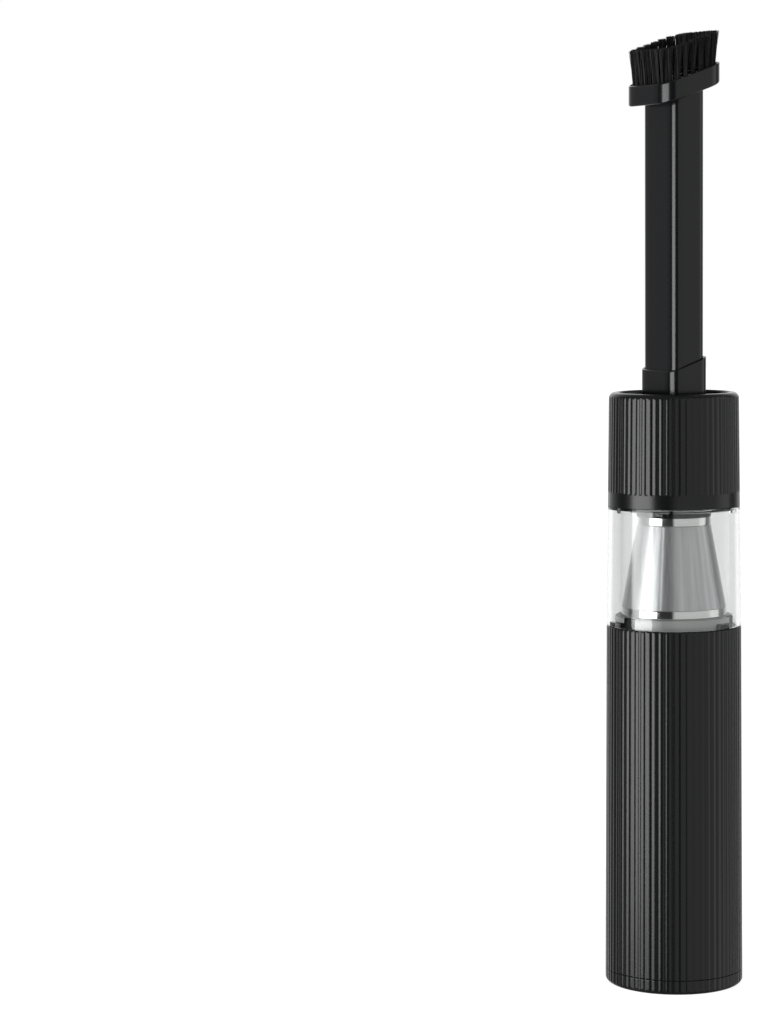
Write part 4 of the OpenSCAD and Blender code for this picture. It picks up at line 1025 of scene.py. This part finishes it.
def sleeve_piece():
    """Plate of the inlet with its rim, the slanted sleeve on it, and the duct through both."""
    low, high = span("inlet_sleeve")
    ledge = span("collar")[1] - LEDGE
    socket = span("nozzle_tube")[0] - SEAT_GAP
    mouth = high - SLEEVE[1] / 2 * SLOPE
    face = low + PLATE
    plate = soften([(0, low, 0), (PLATE_R, low, 0.2), (PLATE_R, face, 0.2), (0, face, 0)])
    root = face - OVERLAP
    rim = soften([(MOUTH_R, root, 0), (PLATE_RIM_R, root, 0), (PLATE_RIM_R, ledge, 0), (MOUTH_R, ledge, 0)])
    root = face - 2 * OVERLAP
    bar = soften([
        (0, root, 0), (0, mouth, 0.45), (SOCKET_WALL, mouth, 0.3), (SOCKET_WALL, socket, 0),
        (SLEEVE_WALL, socket, 0), (SLEEVE_WALL, root, 0)])
    sleeve = make("inlet_sleeve_plate", turned(plate, PLATE_POINTS), "nozzle")
    combine(sleeve, "UNION", wrapped(bar, offset_stations(*SLEEVE, SLEEVE_WALL), mouth - SLOPE_DEPTH))
    combine(sleeve, "DIFFERENCE", block(*DUCT, low - 1, low + 6))
    combine(sleeve, "UNION", turned(rim, PLATE_POINTS))
    place(sleeve, "head", "inner_black", "inlet_sleeve")


def nozzle_piece():
    """Flat crevice nozzle: one even wall round a rounded rectangle, cut aslant at its tip."""
    low, high = span("nozzle_tube")
    tip = high - NOZZLE[1] / 2 * SLOPE
    wall = soften([(0, low, 0.3), (0, tip, 0.4), (NOZZLE_WALL, tip, 0.3), (NOZZLE_WALL, low, 0.3)])
    shell = wrapped(wall, offset_stations(*NOZZLE, NOZZLE_WALL), tip - SLOPE_DEPTH)
    place(make("crevice_nozzle", shell, "nozzle"), "nozzle", "nozzle_black", "nozzle_tube")


# Dusting brush

# Width, depth and corner of the brush ring, its height, the depth of the tray in its top, and the insets
# of the tray's outer wall, its inner wall and the ring's bore
BRUSH = (39.2, 29.4, 9)
BRUSH_HEIGHT = 8.8
TRAY = 1.7
TRAY_WALLS = (0.9, 4.9, 5.7)
# The ring's width, depth and corner at some insets from its outer wall
BRUSH_STATIONS = ((0, *BRUSH), (0.9, 37.4, 27.6, 8.1), (4.9, 29.4, 17.7, 4.95), (5.7, 27.8, 16.1, 4.15))
# Thickness of the backing, its gap to the tray's walls, and how high in it the filaments start
BACKING = 1.5
BACKING_GAP = 0.05
ROOT = 1.0
# For each row of tufts: inset, tufts, phase in tufts, filaments in a tuft, and outward lean in mm
TUFT_ROWS = ((2.7, 30, 0.0, 122, 0.6), (3.85, 24, 0.5, 112, 0.0))
# Radius of a tuft, radius of a filament and its share at foot, middle and tip, and how far the
# filaments stand out of the tray
TUFT_R = 0.86
STRAND_R = 0.1
STRAND_TAPER = (1, 0.95, 0.7)
STRAND_LENGTH = 14.2
# How far filaments splay with their place in the tuft, how far tufts and filaments lean by chance in
# mm, and the power of the height by which they bend
SPLAY = 0.95
TUFT_LEAN = 0.22
STRAND_LEAN = 0.2
BEND = 1.4
# Spread of the lengths, share of filaments that end short, and the most that they lack
LENGTH_SPREAD = 0.16
SHORT_SHARE = 0.12
SHORT_BY = 0.5
# Drop of the tips for each mm towards +X from a place, and how far a tuft's own top is levelled
# against the slope of the cut
TIP_DROP = 0.022
TIP_DROP_FROM = -10
LEVELLING = 0.75


def brush_pieces():
    """Brush ring with its tray, and the backing with its tufts."""
    low = span("brush_ring")[0] + BRUSH[1] / 2 * SLOPE
    high = low + BRUSH_HEIGHT
    floor = high - TRAY
    outer, inner, bore = TRAY_WALLS
    tray = soften([
        (0, low, 0.9), (0, high, 0.45), (outer, high, 0.3), (outer, floor, 0), (inner, floor, 0),
        (inner, high, 0.25), (bore, high, 0.25), (bore, low, 0.3)])
    ring = make("brush_ring_tray", wrapped(tray, BRUSH_STATIONS, low - SLOPE_DEPTH), "nozzle")
    place(ring, "brush", "nozzle_black", "brush_ring")
    outer, inner, top = outer + BACKING_GAP, inner - BACKING_GAP, floor + BACKING
    backing = soften([(outer, floor, 0), (outer, top, 0.2), (inner, top, 0.2), (inner, floor, 0)])
    shells = wrapped(backing, BRUSH_STATIONS, low - SLOPE_DEPTH), strands(floor + ROOT, high)
    hair = make("nylon_bristles", together(*shells), "bristle", STRAND_CREASE)
    place(hair, "brush", "bristle", "bristles")


def along_track(share, x, y, corner):
    """Points and outward directions at shares of the way round a rounded rectangle."""
    flat = outline(x, y, corner, 24, 24)
    loop = np.vstack([flat, flat[:1]])
    run = np.concatenate([[0], np.cumsum(np.linalg.norm(np.diff(loop, axis=0), axis=1))])
    at = (share % 1) * run[-1]
    point = np.column_stack([np.interp(at, run, loop[:, k]) for k in (0, 1)])
    ahead = np.column_stack([np.interp((at + 0.3) % run[-1], run, loop[:, k]) for k in (0, 1)]) - point
    out = np.column_stack([ahead[:, 1], -ahead[:, 0]])
    return point, out / np.linalg.norm(out, axis=1)[:, None]


def strands(root_z, rim_z):
    """Filaments as three-sided tapered rods of three rings. Each starts in its tuft, leans outwards
    and a little sideways by chance, bends as a power of its height, and ends near the sloped cut,
    which drops a little towards +X."""
    chance = np.random.default_rng(41)
    low, high = (np.array(c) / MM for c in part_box("bristles"))
    rows = []
    for inset, tufts, phase, each, lean in TUFT_ROWS:
        share = (np.arange(tufts) + phase) / tufts
        middle, out = along_track(share, BRUSH[0] - 2 * inset, BRUSH[1] - 2 * inset, BRUSH[2] - inset)
        pick = np.repeat(np.arange(tufts), each)
        n = len(pick)
        r, a = TUFT_R * np.sqrt(chance.random(n)), TAU * chance.random(n)
        spread = np.column_stack([r * np.cos(a), r * np.sin(a)])
        tuft_lean = chance.normal(0, TUFT_LEAN, (tufts, 2))[pick]
        drift = out[pick] * lean + spread * SPLAY + tuft_lean + chance.normal(0, STRAND_LEAN, (n, 2))
        length = STRAND_LENGTH + chance.normal(0, LENGTH_SPREAD, n)
        length -= SHORT_BY * (chance.random(n) < SHORT_SHARE) * chance.random(n)
        length -= TIP_DROP * (middle[pick, 0] - TIP_DROP_FROM) + LEVELLING * SLOPE * (spread + drift)[:, 1]
        rows.append((middle[pick] + spread, drift, length))
    base, drift, length = (np.concatenate([row[k] for row in rows]) for k in (0, 1, 2))

    count = len(base)
    rise = np.array([0, 0.5, 1.0])
    flat = base[:, None, :] + drift[:, None, :] * (rise ** BEND)[None, :, None]
    start = root_z + base[:, 1] * SLOPE
    end = rim_z + length + flat[:, -1, 1] * SLOPE
    z = start[:, None] + (end - start)[:, None] * rise[None, :]
    girth = STRAND_R * np.array(STRAND_TAPER)
    angle = TAU * chance.random(count)[:, None, None] + TAU * np.arange(3)[None, None, :] / 3
    x = flat[..., 0, None] + girth[None, :, None] * np.cos(angle)
    y = flat[..., 1, None] + girth[None, :, None] * np.sin(angle)
    points = np.stack([x, y, np.repeat(z[..., None], 3, 2)], -1).reshape(-1, 3)
    points = np.clip(points, low, high)

    first = 9 * np.arange(count)[:, None, None]
    walls = np.array([[0, 1, 4, 3], [1, 2, 5, 4], [2, 0, 3, 5], [3, 4, 7, 6], [4, 5, 8, 7], [5, 3, 6, 8]])
    ends = np.array([[2, 1, 0], [6, 7, 8]])
    return points, (walls + first).reshape(-1, 4).tolist() + (ends + first).reshape(-1, 3).tolist()


# The solids that stay in view, by finish
INNER = {
    "screw": ("base_screws", "charge_port"),
    "board": ("control_board", "switch_board"),
    "chip": ("board_components", "tact_switch"),
    "inner": ("lower_cell_holder", "upper_cell_holder", "intake_seat", "diffuser", "fan_cover"),
    "wrap": ("battery_cells",),
    "tab": ("cell_tabs",),
    "lead": ("power_leads",),
    "rubber": ("motor_mount", "fan_mount", "cup_seal", "filter_gasket", "collar_seal"),
    "motor": ("motor_can", "motor_end_cap", "rotor_shaft", "motor_bearings"),
    "stator": ("motor_stator",),
    "winding": ("motor_windings",),
    "magnet": ("rotor_magnet",),
    "impeller": ("impeller",),
    "foam": ("exhaust_foam",),
    "paper": ("filter_core",),
}


def dress_solids():
    """Gives every solid that stays in view its finish."""
    for name, nodes in INNER.items():
        for node in nodes:
            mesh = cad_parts[node].data
            mesh.materials.clear()
            mesh.materials.append(FINISHES[name])


aim_camera()
light_studio()
hang_panel("tall_softbox", bearing=-57.2, distance=2.0, width=1.43, low=-0.44, high=0.6, brightness=5.9)
lay_floor()
FINISHES = make_finishes()
dress_solids()
handle_pieces()
bayonet_piece()
cup_piece()
filter_pieces()
collar_piece()
sleeve_piece()
nozzle_piece()
brush_pieces()

bpy.context.scene.view_settings.view_transform = "Standard"
bpy.context.view_layer.update()
